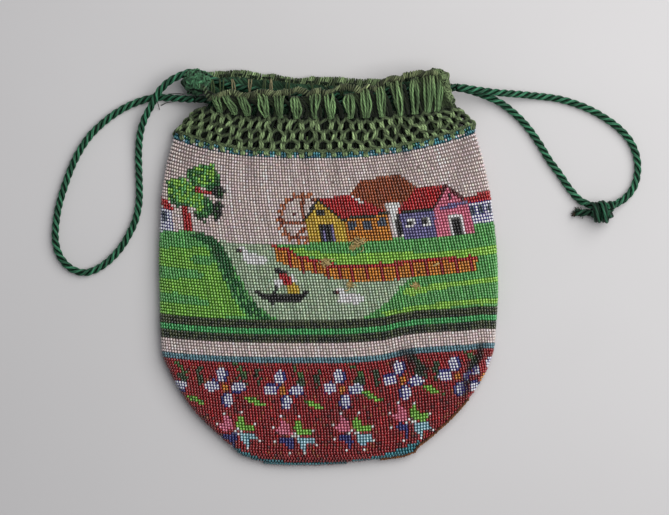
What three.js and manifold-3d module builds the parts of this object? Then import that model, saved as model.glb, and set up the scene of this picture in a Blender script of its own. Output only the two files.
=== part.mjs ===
// A beaded reticule lying on its back: a flat bead-knitted pouch, a crocheted top of openwork,
// ribbed casing and edging, and a twisted drawstring with a loop at the left and a knotted pair
// of strands at the right. Millimetres, +Z up, +Y towards the mouth, z = 0 is the table.
import * as THREE from "three";
import { mergeVertices } from "three/addons/utils/BufferGeometryUtils.js";
import Module from "manifold-3d";

// Driving dimensions
const GAP = 0.3; // clearance between neighbouring pieces
const POUCH_WALL = 2; // bead knitting, ground and beads together
const BAND_WALL = 2; // crochet yarn, openwork
const CASING_WALL = 2.2; // crochet yarn, ribs
const EDGING_HEIGHT = 3.3;
const EDGING_BULGE = 0.6; // how far the edging stands proud of the casing on each side
const EDGING_SCALLOP = 0.35; // rise of the edging over each rib
const CORD_RADIUS = 1.9;
const LEFT_SAG_POWER = 3.2; // how late the rows rise towards the left edge
const RIGHT_SAG_POWER = 2.2; // and towards the right edge
const BACK_POWER = 4; // squareness of the half of a section that lies on the table
const BACK_FLAT = 0.4; // share of its half width that lies quite flat
const POUCH_FRONT_COLUMNS = 36;
const POUCH_BACK_COLUMNS = 18;
const BAND_GAPS_PER_ROW = 42; // round both sides, in two rows set half a step apart
const RIBS_PER_SIDE = 16;
const RIB_SHARE = 0.6; // rib width in a rib and gap
const RIB_REACH = 0.94; // the outermost rib edges, in half widths
const SIDE_PLACE = 0.985; // extra place near the sides, in half widths
const CORD_SIDES = 8;

// Sections of the pouch from the mouth down. y is the row's height at the middle, riseL and
// riseR how far its ends lie above that, left and right its ends, crown its highest point
// and turn the height at which the sides turn under.
const POUCH_SECTIONS = [
  { y: 57.2, riseL: 11.0, riseR: 14.5, left: -76.8, right: 73.2, crown: 14.6, turn: 5.6 },
  { y: 52.0, riseL: 9.6, riseR: 12.3, left: -78.7, right: 74.9, crown: 14.4, turn: 5.4 },
  { y: 45.0, riseL: 8.0, riseR: 9.9, left: -81.0, right: 77.6, crown: 14.1, turn: 5.2 },
  { y: 33.0, riseL: 6.3, riseR: 7.5, left: -83.4, right: 80.7, crown: 13.8, turn: 5.0 },
  { y: 16.0, riseL: 5.0, riseR: 6.0, left: -84.6, right: 83.4, crown: 13.6, turn: 4.8 },
  { y: -2.0, riseL: 4.2, riseR: 5.8, left: -85.2, right: 84.9, crown: 13.5, turn: 4.8 },
  { y: -19.0, riseL: 3.6, riseR: 6.0, left: -84.8, right: 85.2, crown: 13.4, turn: 4.8 },
  { y: -36.0, riseL: 3.0, riseR: 6.3, left: -84.4, right: 84.2, crown: 13.2, turn: 4.7 },
  { y: -48.0, riseL: 2.8, riseR: 6.3, left: -83.0, right: 83.0, crown: 12.8, turn: 4.6 },
  { y: -57.0, riseL: 2.8, riseR: 6.3, left: -78.9, right: 80.0, crown: 12.4, turn: 4.5 },
  { y: -66.0, riseL: 2.8, riseR: 6.2, left: -73.9, right: 75.0, crown: 11.8, turn: 4.4 },
  { y: -76.0, riseL: 2.6, riseR: 5.6, left: -66.5, right: 66.7, crown: 10.8, turn: 4.2 },
  { y: -85.0, riseL: 2.2, riseR: 4.5, left: -56.9, right: 56.5, crown: 9.6, turn: 4.0 },
  { y: -92.0, riseL: 1.7, riseR: 3.0, left: -48.6, right: 46.0, crown: 8.2, turn: 3.7 },
  { y: -96.6, riseL: 1.1, riseR: 1.5, left: -41.5, right: 35.0, crown: 6.6, turn: 3.2 },
  { y: -99.2, riseL: 0.4, riseR: 0.4, left: -31.0, right: 6.0, crown: 4.6, turn: 2.6 },
];
const POUCH_POWER = 2.6; // squareness of the half of a section that faces up
const POUCH_INNER_ROWS = 14; // the hollow reaches down past this many sections
const POUCH_INNER_END = { y: -95.8, riseL: 1, riseR: 1.2, left: -38, right: 30, crown: 6.8, turn: 3.4 };

// Folds that run down the front from the crochet: place, half width, depth and length.
const FOLDS = [
  { x: -69, width: 5, depth: 1.3, length: 30 },
  { x: -39, width: 5, depth: 1.7, length: 38 },
  { x: -24, width: 4, depth: 1.2, length: 24 },
  { x: -12, width: 4, depth: 1.5, length: 34 },
  { x: 4, width: 5, depth: 1.5, length: 30 },
  { x: 36, width: 6, depth: 1.7, length: 42 },
  { x: 66, width: 5, depth: 1.4, length: 34 },
];
const FOLD_TOP = 57.2; // row height at which the folds are deepest
const FOLD_RELEASE = 16; // they fade out over this height above it

// The openwork band: share of its height and whether that row of cells is pierced.
const BAND_LEVELS = [0, 0.12, 0.46, 0.58, 0.89, 1];
const BAND_PIERCED_ROWS = [1, 3];
const BAND_TOP = {
  y: 73.6, riseL: 6.0, riseR: 5.8, left: -64.5, right: 64.8, crown: 18, floor: 1.6, turn: 9.5, power: 3.5,
};

// Rows of the casing from the openwork up: share of its height, ends, crown, and how far the
// ribs bulge from the wall there. The left end is turned out in a flare.
const CASING_ROWS = [
  { up: 0, left: -64.5, right: 64.8, crown: 18.0, turn: 9.5, bulge: 0 },
  { up: 0.12, left: -62.4, right: 63.8, crown: 19.2, turn: 9.8, bulge: 0.5 },
  { up: 0.36, left: -60.8, right: 62.2, crown: 20.0, turn: 10, bulge: 1.6 },
  { up: 0.64, left: -64.0, right: 61.2, crown: 20.0, turn: 10, bulge: 1.6 },
  { up: 0.88, left: -69.4, right: 60.2, crown: 19.4, turn: 10, bulge: 0.5 },
  { up: 1, left: -71.2, right: 59.4, crown: 19.0, turn: 10, bulge: 0 },
];
const CASING_PIERCED_ROWS = [1, 2, 3];
const CASING_FLOOR = 1.6; // the ribs bulge down from here to the table
const CASING_POWER = 3.5;

// Height of the casing's upper edge across the width, for the front and the back. at is -1 at
// the left end and 1 at the right end.
const RIM = [
  { at: -1, front: 90.4, back: 90.4 },
  { at: -0.85, front: 87.0, back: 94.0 },
  { at: -0.62, front: 86.0, back: 95.25 },
  { at: -0.4, front: 86.2, back: 93.7 },
  { at: -0.1, front: 86.4, back: 91.7 },
  { at: 0.12, front: 87.0, back: 90.8 },
  { at: 0.35, front: 89.0, back: 90.2 },
  { at: 0.5, front: 90.4, back: 90.1 },
  { at: 0.68, front: 93.4, back: 93.0 },
  { at: 0.88, front: 94.6, back: 94.4 },
  { at: 1, front: 93.8, back: 93.8 },
];

// Route of the drawstring as x, y, z of its middle, stretch by stretch.
const FRONT_RUN = [
  [-66.1, 83.9, 8.7], [-63.5, 83.8, 9.5], [-60.5, 83.5, 10.4], [-52, 82.3, 13.0], [-40, 81.3, 14.9],
  [-20, 80.9, 15.4], [0, 80.9, 15.4], [20, 82.3, 15.4], [36, 84.6, 14.9], [48, 87.2, 13.6],
  [56, 89.2, 12.5], [60, 89.7, 12.4], [63.4, 89.7, 12.3],
];
const BACK_RUN = [
  [-67.3, 97.4, 8.4], [-65.5, 97.2, 8.3], [-62, 96.0, 7.9], [-57, 93.4, 7.3], [-48, 90.6, 6.5],
  [-36, 88.6, 6.2], [-20, 86.5, 6.1], [0, 85.2, 6.1], [20, 86.5, 6.1], [36, 88.5, 6.2], [48, 89.3, 6.7],
  [56, 89.5, 7.6], [60, 89.5, 7.9], [63.4, 89.5, 8],
];
const LEFT_LOOP = [
  [-67.9, 97.4, 8.4], [-69.7, 97.3, 8.5], [-74.1, 95.7, 8.8],
  [-79.7, 92.7, 8.6], [-84.7, 87.7, 7.9], [-88.5, 80.9, 6.6],
  [-92.2, 74.2, 4.6], [-94.4, 67.2, 2.9], [-95.3, 58.2, 2], [-95.2, 48.7, 2], [-94.9, 39.2, 2],
  [-95.2, 31.7, 2], [-96.9, 23.7, 2], [-100.2, 16.4, 2], [-104.7, 9.2, 2], [-111.2, 2.5, 2],
  [-117.2, -1.3, 2], [-123, -2.7, 2], [-129.7, -0.3, 2], [-134.7, 5.4, 2], [-137, 12.7, 2],
  [-136.9, 20.7, 2], [-135.6, 29.7, 2], [-133.2, 38.4, 2], [-129.9, 47.9, 2], [-125.9, 56.7, 2],
  [-120, 65.7, 2], [-112.7, 72.9, 2], [-104.7, 78.7, 2], [-96.5, 82.7, 2], [-88.5, 85, 2],
  [-80.4, 85, 2.8], [-72.2, 84.2, 6.2], [-66.7, 83.9, 8.5],
];
const RIGHT_OUTER = [
  [64, 89.7, 12.3], [67, 89.5, 12.1], [74, 88.4, 11.0], [83.8, 87.3, 8.6], [89.3, 87, 6.9], [94.8, 86.7, 5.1],
  [100.3, 86.3, 3.5], [105.8, 85.8, 2.4], [111.3, 85.2, 2], [116.8, 84.2, 2], [127.8, 80.7, 2],
  [137.3, 75.9, 2], [145.3, 70.2, 2], [151.3, 63.7, 2], [154.6, 56.2, 2], [155.3, 48.7, 2],
  [153.5, 40.7, 2], [149.1, 34.9, 2.6], [143.9, 31.6, 4.2],
];
const RIGHT_INNER = [
  [64, 89.5, 8], [67, 89.2, 7.8], [74, 87.4, 6.5], [80.2, 85.2, 4.9], [87.3, 81.8, 3.4], [94.8, 75.9, 2.3],
  [100.8, 69.3, 2], [105.8, 62.2, 2], [110.8, 53.9, 2], [116.1, 46.7, 2], [121.3, 39.2, 2],
  [126.3, 33.6, 2.4], [130.1, 31.6, 3.8],
];
const STRETCHES = [
  { name: "drawstring_front_run", route: FRONT_RUN, steps: 12 },
  { name: "drawstring_back_run", route: BACK_RUN, steps: 12 },
  { name: "drawstring_left_loop", route: LEFT_LOOP, steps: 30 },
  { name: "drawstring_right_outer", route: RIGHT_OUTER, steps: 15 },
  { name: "drawstring_right_inner", route: RIGHT_INNER, steps: 11 },
];

// The knot at the far end: wraps round an axis along X, with one cut tail.
const KNOT_CENTRE = new THREE.Vector3(137, 27.7, 6.4);
const KNOT_WRAP_RADIUS = 4.3;
const KNOT_TURNS = 2.2;
const KNOT_PITCH = 3.8;
const KNOT_CORE_RADIUS = 4.2;
const KNOT_TAIL = [[135, 27.7, 5.2], [130.5, 27.4, 3.4], [124, 27.4, 2.4]];
const KNOT_TAIL_RADIUS = 2.2;

const POUCH_COLOUR = 0x9a8f8f;
const CROCHET_COLOUR = 0x5f7346;
const CORD_COLOUR = 0x236946;

const smoothed = (low, high, value) => THREE.MathUtils.smoothstep(value, low, high);

// Sections

// The number at share t of the way between two sections, for every column they hold.
function between(a, b, t) {
  const mix = {};
  for (const key of Object.keys(a)) mix[key] = THREE.MathUtils.lerp(a[key], b[key], t);
  return mix;
}

// The same section one wall further in. side is the wall's width across at its ends.
function inset(section, wall, side = wall) {
  return {
    ...section,
    left: section.left + side,
    right: section.right - side,
    crown: section.crown - wall,
    floor: section.floor + wall,
  };
}

function rowHeight(section, across) {
  const rise = across < 0 ? section.riseL : section.riseR;
  const power = across < 0 ? LEFT_SAG_POWER : RIGHT_SAG_POWER;
  return section.y + rise * Math.abs(across) ** power;
}

function foldDepth(x, y) {
  let depth = 0;
  for (const fold of FOLDS) {
    const side = Math.exp(-(((x - fold.x) / fold.width) ** 2));
    const below = smoothed(FOLD_TOP - fold.length, FOLD_TOP, y);
    const above = 1 - smoothed(FOLD_TOP, FOLD_TOP + FOLD_RELEASE, y);
    depth += fold.depth * side * below * above;
  }
  return depth;
}

// A point of a section's closed line: across runs from -1 at the left to 1 at the right.
function sectionPoint(section, across, onFront) {
  const x = THREE.MathUtils.lerp(section.left, section.right, (across + 1) / 2);
  const y = rowHeight(section, across);
  const power = onFront ? section.power : BACK_POWER;
  const bend = onFront ? Math.abs(across) : Math.max(0, (Math.abs(across) - BACK_FLAT) / (1 - BACK_FLAT));
  const fullness = (1 - Math.min(bend, 1) ** power) ** (1 / power);
  const reach = onFront ? section.crown - section.turn : section.floor - section.turn;
  const folded = onFront ? foldDepth(x, section.y) * fullness : 0;
  return new THREE.Vector3(x, y, section.turn + reach * fullness - folded);
}

// Walls

// Collects shared points and triangles of one closed body.
class Body {
  constructor() {
    this.points = [];
    this.faces = [];
  }

  add(point) {
    return this.points.push(point) - 1;
  }

  addGrid(grid) {
    return grid.map((row) => row.map((point) => this.add(point)));
  }

  quad(a, b, c, d) {
    this.faces.push(a, b, c, a, c, d);
  }

  // A skin over rows that close on themselves, left open where pierced says so.
  skin(grid, facesOut, pierced = () => false) {
    for (let i = 0; i + 1 < grid.length; i++) {
      for (let j = 0; j < grid[i].length; j++) {
        if (pierced(i, j)) continue;
        const k = (j + 1) % grid[i].length;
        if (facesOut) this.quad(grid[i][j], grid[i][k], grid[i + 1][k], grid[i + 1][j]);
        else this.quad(grid[i][j], grid[i + 1][j], grid[i + 1][k], grid[i][k]);
      }
    }
  }

  // Closes a row with a fan of triangles to its middle.
  fan(row, facesOut) {
    const middle = new THREE.Vector3();
    for (const index of row) middle.addScaledVector(this.points[index], 1 / row.length);
    const hub = this.add(middle);
    for (let j = 0; j < row.length; j++) {
      const k = (j + 1) % row.length;
      if (facesOut) this.faces.push(hub, row[k], row[j]);
      else this.faces.push(hub, row[j], row[k]);
    }
  }

  // The edge between the two skins along one row.
  rim(outer, inner, facesUp) {
    for (let j = 0; j < outer.length; j++) {
      const k = (j + 1) % outer.length;
      if (facesUp) this.quad(outer[j], outer[k], inner[k], inner[j]);
      else this.quad(outer[j], inner[j], inner[k], outer[k]);
    }
  }

  geometry() {
    const geometry = new THREE.BufferGeometry();
    const numbers = this.points.flatMap((point) => point.toArray());
    geometry.setAttribute("position", new THREE.Float32BufferAttribute(numbers, 3));
    geometry.setIndex(this.faces);
    geometry.computeVertexNormals();
    return geometry;
  }
}

// A ring of wall between two skins, with openings cut through where pierced says so.
function piercedRing(outerGrid, innerGrid, pierced) {
  const body = new Body();
  const outer = body.addGrid(outerGrid);
  const inner = body.addGrid(innerGrid);
  const rows = outer.length - 1;
  const columns = outer[0].length;
  body.skin(outer, true, pierced);
  body.skin(inner, false, pierced);
  body.rim(outer[0], inner[0], false);
  body.rim(outer[rows], inner[rows], true);
  for (let i = 0; i < rows; i++) {
    for (let j = 0; j < columns; j++) {
      if (!pierced(i, j)) continue;
      const k = (j + 1) % columns;
      const before = (j + columns - 1) % columns;
      if (!pierced(i, before)) body.quad(outer[i][j], inner[i][j], inner[i + 1][j], outer[i + 1][j]);
      if (!pierced(i, k)) body.quad(outer[i][k], outer[i + 1][k], inner[i + 1][k], inner[i][k]);
      if (!pierced(i - 1, j)) body.quad(outer[i][j], outer[i][k], inner[i][k], inner[i][j]);
      if (!pierced(i + 1, j)) body.quad(outer[i + 1][j], inner[i + 1][j], inner[i + 1][k], outer[i + 1][k]);
    }
  }
  return body.geometry();
}

// Pouch

// Places round a pouch row, front from left to right and then back, closer at the sides.
function pouchPlaces() {
  const places = [];
  for (let j = 0; j < POUCH_FRONT_COLUMNS; j++) {
    places.push({ across: -Math.cos((Math.PI * j) / POUCH_FRONT_COLUMNS), onFront: true });
  }
  for (let j = 0; j < POUCH_BACK_COLUMNS; j++) {
    places.push({ across: Math.cos((Math.PI * j) / POUCH_BACK_COLUMNS), onFront: false });
  }
  return places;
}

// How much wider than the wall its cut across the row is, where the outline slopes.
function sideFactor(sections, i) {
  const above = sections[Math.max(i - 1, 0)];
  const below = sections[Math.min(i + 1, sections.length - 1)];
  const slope = (above.right - above.left - below.right + below.left) / 2 / (above.y - below.y);
  return Math.hypot(1, slope);
}

function pouchGeometry() {
  const rest = { floor: 0, power: POUCH_POWER };
  const sections = POUCH_SECTIONS.map((section) => ({ ...section, ...rest }));
  const hollow = sections
    .slice(0, POUCH_INNER_ROWS)
    .map((section, i) => inset(section, POUCH_WALL, POUCH_WALL * sideFactor(sections, i)));
  hollow.push(inset({ ...POUCH_INNER_END, ...rest }, POUCH_WALL));
  const places = pouchPlaces();
  const skinOf = (rows) =>
    rows.reverse().map((section) => places.map((p) => sectionPoint(section, p.across, p.onFront)));
  const body = new Body();
  const outer = body.addGrid(skinOf(sections));
  const inner = body.addGrid(skinOf(hollow));
  body.skin(outer, true);
  body.skin(inner, false);
  body.fan(outer[0], true);
  body.fan(inner[0], false);
  body.rim(outer.at(-1), inner.at(-1), true);
  return body.geometry();
}

// Openwork band

// Places round the band, a post or a gap to each cell. The cells at the sides, where the wall
// turns under, have one place more.
function bandPlaces() {
  const places = [];
  for (const onFront of [true, false]) {
    const side = onFront ? 1 : -1;
    for (let cell = 0; cell < BAND_GAPS_PER_ROW; cell++) {
      const start = -1 + (2 * cell) / BAND_GAPS_PER_ROW;
      places.push({ across: side * start, onFront, cell });
      if (cell === 0) places.push({ across: -side * SIDE_PLACE, onFront, cell });
      if (cell === BAND_GAPS_PER_ROW - 1) places.push({ across: side * SIDE_PLACE, onFront, cell });
    }
  }
  return places;
}

function bandGeometry() {
  const foot = { ...POUCH_SECTIONS[0], floor: 0, power: POUCH_POWER };
  foot.y += GAP;
  const places = bandPlaces();
  const gridOf = (wall) =>
    BAND_LEVELS.map((level) => {
      const section = inset(between(foot, BAND_TOP, level), wall);
      return places.map((p) => sectionPoint(section, p.across, p.onFront));
    });
  const pierced = (i, j) =>
    BAND_PIERCED_ROWS.includes(i) && (places[j].cell + BAND_PIERCED_ROWS.indexOf(i)) % 2 === 1;
  return piercedRing(gridOf(0), gridOf(BAND_WALL), pierced);
}

// Casing and edging

// Places round the casing: three to each rib, and three at each end between front and back.
function casingPlaces() {
  const pitch = (2 * RIB_REACH) / (RIBS_PER_SIDE - 1 + RIB_SHARE);
  const places = [];
  for (const onFront of [true, false]) {
    const side = onFront ? 1 : -1;
    places.push({ across: -side, onFront, ridge: 0, gapAfter: true });
    places.push({ across: -side * SIDE_PLACE, onFront, ridge: 0, gapAfter: true });
    for (let rib = 0; rib < RIBS_PER_SIDE; rib++) {
      const start = -RIB_REACH + rib * pitch;
      places.push({ across: side * start, onFront, ridge: 0, gapAfter: false });
      places.push({ across: side * (start + (pitch * RIB_SHARE) / 2), onFront, ridge: 1, gapAfter: false });
      places.push({ across: side * (start + pitch * RIB_SHARE), onFront, ridge: 0, gapAfter: true });
    }
    places.push({ across: side * SIDE_PLACE, onFront, ridge: 0, gapAfter: true });
  }
  return places;
}

function rimHeight(across, onFront) {
  const column = onFront ? "front" : "back";
  const next = RIM.findIndex((row) => row.at >= across);
  if (next <= 0) return RIM[0][column];
  const low = RIM[next - 1];
  const high = RIM[next];
  return THREE.MathUtils.lerp(low[column], high[column], smoothed(low.at, high.at, across));
}

function casingGrid(places, wall) {
  return CASING_ROWS.map((row) => {
    const section = inset({ ...BAND_TOP, ...row, floor: CASING_FLOOR, power: CASING_POWER }, wall);
    return places.map((place) => {
      const point = sectionPoint(section, place.across, place.onFront);
      const foot = rowHeight(BAND_TOP, place.across) + GAP;
      point.y = THREE.MathUtils.lerp(foot, rimHeight(place.across, place.onFront), row.up);
      if (wall === 0) point.z += (place.onFront ? 1 : -1) * place.ridge * row.bulge;
      return point;
    });
  });
}

function casingGeometry(places) {
  const pierced = (i, j) => CASING_PIERCED_ROWS.includes(i) && places[j].gapAfter;
  return piercedRing(casingGrid(places, 0), casingGrid(places, CASING_WALL), pierced);
}

// The edging is a rounded ridge that follows the casing's upper edge all the way round.
function edgingGeometry(places) {
  const body = new Body();
  const outerEdge = casingGrid(places, 0).at(-1);
  const innerEdge = casingGrid(places, CASING_WALL).at(-1);
  const up = new THREE.Vector3(0, 1, 0);
  const rings = places.map((place, j) => {
    const height = EDGING_HEIGHT + EDGING_SCALLOP * (2 * place.ridge - 1);
    const out = outerEdge[j].clone().sub(innerEdge[j]).setY(0).normalize();
    const from = (edge, side, rise) =>
      edge.clone().addScaledVector(out, side).addScaledVector(up, GAP + rise);
    return [
      from(innerEdge[j], 0, 0),
      from(innerEdge[j], -EDGING_BULGE, height / 2),
      from(innerEdge[j], EDGING_BULGE, height),
      from(outerEdge[j], -EDGING_BULGE, height),
      from(outerEdge[j], EDGING_BULGE, height / 2),
      from(outerEdge[j], 0, 0),
    ].map((point) => body.add(point));
  });
  const sides = rings[0].length;
  for (let j = 0; j < rings.length; j++) {
    const next = rings[(j + 1) % rings.length];
    for (let side = 0; side < sides; side++) {
      const after = (side + 1) % sides;
      body.quad(rings[j][side], rings[j][after], next[after], next[side]);
    }
  }
  return body.geometry();
}

// Drawstring

function roundSection(radius) {
  const corners = [];
  for (let i = 0; i < CORD_SIDES; i++) {
    const angle = (2 * Math.PI * (i + 0.5)) / CORD_SIDES;
    corners.push(new THREE.Vector2(radius * Math.cos(angle), radius * Math.sin(angle)));
  }
  return new THREE.Shape(corners);
}

function tubeAlong(points, radius, steps) {
  const extrudePath = new THREE.CatmullRomCurve3(points);
  return new THREE.ExtrudeGeometry(roundSection(radius), { steps, extrudePath, bevelEnabled: false });
}

const routePoints = (route) => route.map((place) => new THREE.Vector3(...place));

// Knot

const wasm = await Module();
wasm.setup();

function solidOf(geometry) {
  const bare = geometry.clone();
  bare.deleteAttribute("normal");
  bare.deleteAttribute("uv");
  const merged = mergeVertices(bare, 1e-3);
  const mesh = new wasm.Mesh({
    numProp: 3,
    vertProperties: new Float32Array(merged.attributes.position.array),
    triVerts: new Uint32Array(merged.index.array),
  });
  return new wasm.Manifold(mesh);
}

function geometryOf(solid) {
  const mesh = solid.getMesh();
  const geometry = new THREE.BufferGeometry();
  geometry.setAttribute("position", new THREE.BufferAttribute(mesh.vertProperties, 3));
  geometry.setIndex(new THREE.BufferAttribute(mesh.triVerts, 1));
  geometry.computeVertexNormals();
  return geometry;
}

function knotGeometry() {
  const stations = 8; // points of the wrap in a turn
  const length = KNOT_TURNS * KNOT_PITCH;
  const wrap = [];
  for (let i = 0; i <= KNOT_TURNS * stations; i++) {
    const angle = (2 * Math.PI * i) / stations;
    const along = (KNOT_PITCH * i) / stations - length / 2;
    const ring = new THREE.Vector3(along, Math.cos(angle), Math.sin(angle));
    wrap.push(ring.multiply(new THREE.Vector3(1, KNOT_WRAP_RADIUS, KNOT_WRAP_RADIUS)).add(KNOT_CENTRE));
  }
  const core = new THREE.SphereGeometry(KNOT_CORE_RADIUS, 10, 8);
  core.scale((length / 2 + CORD_RADIUS / 2) / KNOT_CORE_RADIUS, 1, 1);
  core.translate(...KNOT_CENTRE.toArray());
  const tail = tubeAlong(routePoints(KNOT_TAIL), KNOT_TAIL_RADIUS, 4);
  const pieces = [tubeAlong(wrap, CORD_RADIUS, wrap.length - 1), core, tail].map(solidOf);
  return geometryOf(pieces.reduce((sum, piece) => sum.add(piece)));
}

// Assembly

const reticule = new THREE.Group();

function place(name, geometry, color, roughness) {
  const material = new THREE.MeshStandardMaterial({ color, roughness, metalness: 0 });
  const mesh = new THREE.Mesh(geometry, material);
  mesh.name = name;
  reticule.add(mesh);
}

const casingColumns = casingPlaces();
place("bead_pouch", pouchGeometry(), POUCH_COLOUR, 0.35);
place("crochet_openwork_band", bandGeometry(), CROCHET_COLOUR, 0.9);
place("crochet_casing", casingGeometry(casingColumns), CROCHET_COLOUR, 0.9);
place("crochet_edging", edgingGeometry(casingColumns), CROCHET_COLOUR, 0.9);
for (const { name, route, steps } of STRETCHES) {
  place(name, tubeAlong(routePoints(route), CORD_RADIUS, steps), CORD_COLOUR, 0.8);
}
place("drawstring_knot", knotGeometry(), CORD_COLOUR, 0.8);

export default reticule;
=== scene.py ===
"""Looks of the beaded reticule: seed beads, crochet, twisted drawstring, camera and light.

Shapes are in millimetres in the frame of the CAD model and are scaled to metres when a mesh is made.
"""

import math

import bpy
import numpy as np
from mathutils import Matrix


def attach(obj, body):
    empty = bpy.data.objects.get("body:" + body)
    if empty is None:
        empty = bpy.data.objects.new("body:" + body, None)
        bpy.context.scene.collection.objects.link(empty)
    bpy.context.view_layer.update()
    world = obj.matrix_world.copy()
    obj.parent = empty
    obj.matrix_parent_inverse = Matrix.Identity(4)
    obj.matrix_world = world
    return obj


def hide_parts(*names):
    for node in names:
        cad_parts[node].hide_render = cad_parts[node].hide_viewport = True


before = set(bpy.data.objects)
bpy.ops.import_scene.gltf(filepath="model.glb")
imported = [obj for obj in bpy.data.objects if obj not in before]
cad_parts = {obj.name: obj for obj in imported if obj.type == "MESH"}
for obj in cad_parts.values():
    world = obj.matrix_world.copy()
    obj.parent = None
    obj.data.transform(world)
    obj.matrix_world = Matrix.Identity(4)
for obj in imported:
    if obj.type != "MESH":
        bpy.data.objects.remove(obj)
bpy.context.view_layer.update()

MM = 0.001
TURN = 2 * math.pi
rng = np.random.default_rng(1840)

# Camera and light

CAMERA_PLACE = (3.05, 4.9, 1200)  # straight above the middle of the picture
FIELD_WIDTH = 334.5  # seen across the picture at the height below
FIELD_HEIGHT = 7
SENSOR_WIDTH = 36
LIGHT_PLACE = (0.36, 0.2, 0.62)  # in metres
LIGHT_SIZE = 0.85
LIGHT_POWER = 6.7
LIGHT_COLOUR = (1.0, 0.99, 0.98)
ROOM_COLOUR = (0.93, 0.95, 1.0, 1)
ROOM_STRENGTH = 0.27


def add_object(name, data):
    thing = bpy.data.objects.new(name, data)
    bpy.context.scene.collection.objects.link(thing)
    return thing


camera_data = bpy.data.cameras.new("camera")
camera_data.sensor_width = SENSOR_WIDTH
camera_data.lens = SENSOR_WIDTH * (CAMERA_PLACE[2] - FIELD_HEIGHT) / FIELD_WIDTH
camera_data.clip_start = 0.01
camera = add_object("camera", camera_data)
camera.location = [value * MM for value in CAMERA_PLACE]
bpy.context.scene.camera = camera
bpy.context.scene.view_settings.view_transform = "Standard"

light_data = bpy.data.lights.new("window_light", "AREA")
light_data.size = LIGHT_SIZE
light_data.energy = LIGHT_POWER
light_data.color = LIGHT_COLOUR
light = add_object("window_light", light_data)
light.location = LIGHT_PLACE
light_tilt = math.acos(LIGHT_PLACE[2] / math.hypot(*LIGHT_PLACE))
light.rotation_euler = (0, light_tilt, math.atan2(LIGHT_PLACE[1], LIGHT_PLACE[0]))

world = bpy.data.worlds.new("studio")
world.use_nodes = True
background = world.node_tree.nodes["Background"]
background.inputs["Color"].default_value = ROOM_COLOUR
background.inputs["Strength"].default_value = ROOM_STRENGTH
bpy.context.scene.world = world

# Route of the drawstring, as in the CAD model

FRONT_RUN = [
    (-66.1, 83.9, 8.7), (-63.5, 83.8, 9.5), (-60.5, 83.5, 10.4), (-52, 82.3, 13.0), (-40, 81.3, 14.9),
    (-20, 80.9, 15.4), (0, 80.9, 15.4), (20, 82.3, 15.4), (36, 84.6, 14.9), (48, 87.2, 13.6),
    (56, 89.2, 12.5), (60, 89.7, 12.4), (63.4, 89.7, 12.3),
]
BACK_RUN = [
    (-67.3, 97.4, 8.4), (-65.5, 97.2, 8.3), (-62, 96.0, 7.9), (-57, 93.4, 7.3), (-48, 90.6, 6.5),
    (-36, 88.6, 6.2), (-20, 86.5, 6.1), (0, 85.2, 6.1), (20, 86.5, 6.1), (36, 88.5, 6.2), (48, 89.3, 6.7),
    (56, 89.5, 7.6), (60, 89.5, 7.9), (63.4, 89.5, 8),
]
LEFT_LOOP = [
    (-67.9, 97.4, 8.4), (-69.7, 97.3, 8.5), (-74.1, 95.7, 8.8),
    (-79.7, 92.7, 8.6), (-84.7, 87.7, 7.9), (-88.5, 80.9, 6.6),
    (-92.2, 74.2, 4.6), (-94.4, 67.2, 2.9), (-95.3, 58.2, 2), (-95.2, 48.7, 2), (-94.9, 39.2, 2),
    (-95.2, 31.7, 2), (-96.9, 23.7, 2), (-100.2, 16.4, 2), (-104.7, 9.2, 2), (-111.2, 2.5, 2),
    (-117.2, -1.3, 2), (-123, -2.7, 2), (-129.7, -0.3, 2), (-134.7, 5.4, 2), (-137, 12.7, 2),
    (-136.9, 20.7, 2), (-135.6, 29.7, 2), (-133.2, 38.4, 2), (-129.9, 47.9, 2), (-125.9, 56.7, 2),
    (-120, 65.7, 2), (-112.7, 72.9, 2), (-104.7, 78.7, 2), (-96.5, 82.7, 2), (-88.5, 85, 2),
    (-80.4, 85, 2.8), (-72.2, 84.2, 6.2), (-66.7, 83.9, 8.5),
]
RIGHT_OUTER = [
    (64, 89.7, 12.3), (67, 89.5, 12.1), (74, 88.4, 11.0), (83.8, 87.3, 8.6), (89.3, 87, 6.9),
    (94.8, 86.7, 5.1), (100.3, 86.3, 3.5), (105.8, 85.8, 2.4), (111.3, 85.2, 2), (116.8, 84.2, 2),
    (127.8, 80.7, 2), (137.3, 75.9, 2), (145.3, 70.2, 2), (151.3, 63.7, 2), (154.6, 56.2, 2),
    (155.3, 48.7, 2), (153.5, 40.7, 2), (149.1, 34.9, 2.6), (143.9, 31.6, 4.2),
]
RIGHT_INNER = [
    (64, 89.5, 8), (67, 89.2, 7.8), (74, 87.4, 6.5), (80.2, 85.2, 4.9), (87.3, 81.8, 3.4),
    (94.8, 75.9, 2.3), (100.8, 69.3, 2), (105.8, 62.2, 2), (110.8, 53.9, 2), (116.1, 46.7, 2),
    (121.3, 39.2, 2), (126.3, 33.6, 2.4), (130.1, 31.6, 3.8),
]
KNOT_CENTRE = np.array([137, 27.7, 6.4])
KNOT_WRAP_RADIUS = 4.3
KNOT_TURNS = 2.2
KNOT_PITCH = 3.8
KNOT_TAIL = [(135, 27.7, 5.2), (130.5, 27.4, 3.4), (124, 27.4, 2.4)]
KNOT_LEADS = [  # where the two strands run on into the wraps
    [(129.2, 31.9, 3.5), (132.5, 30.6, 5.0), (135.5, 28.8, 6.2)],
    [(144.9, 32.2, 3.9), (141.5, 30.4, 5.4), (138.5, 28.8, 6.2)],
]

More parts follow.
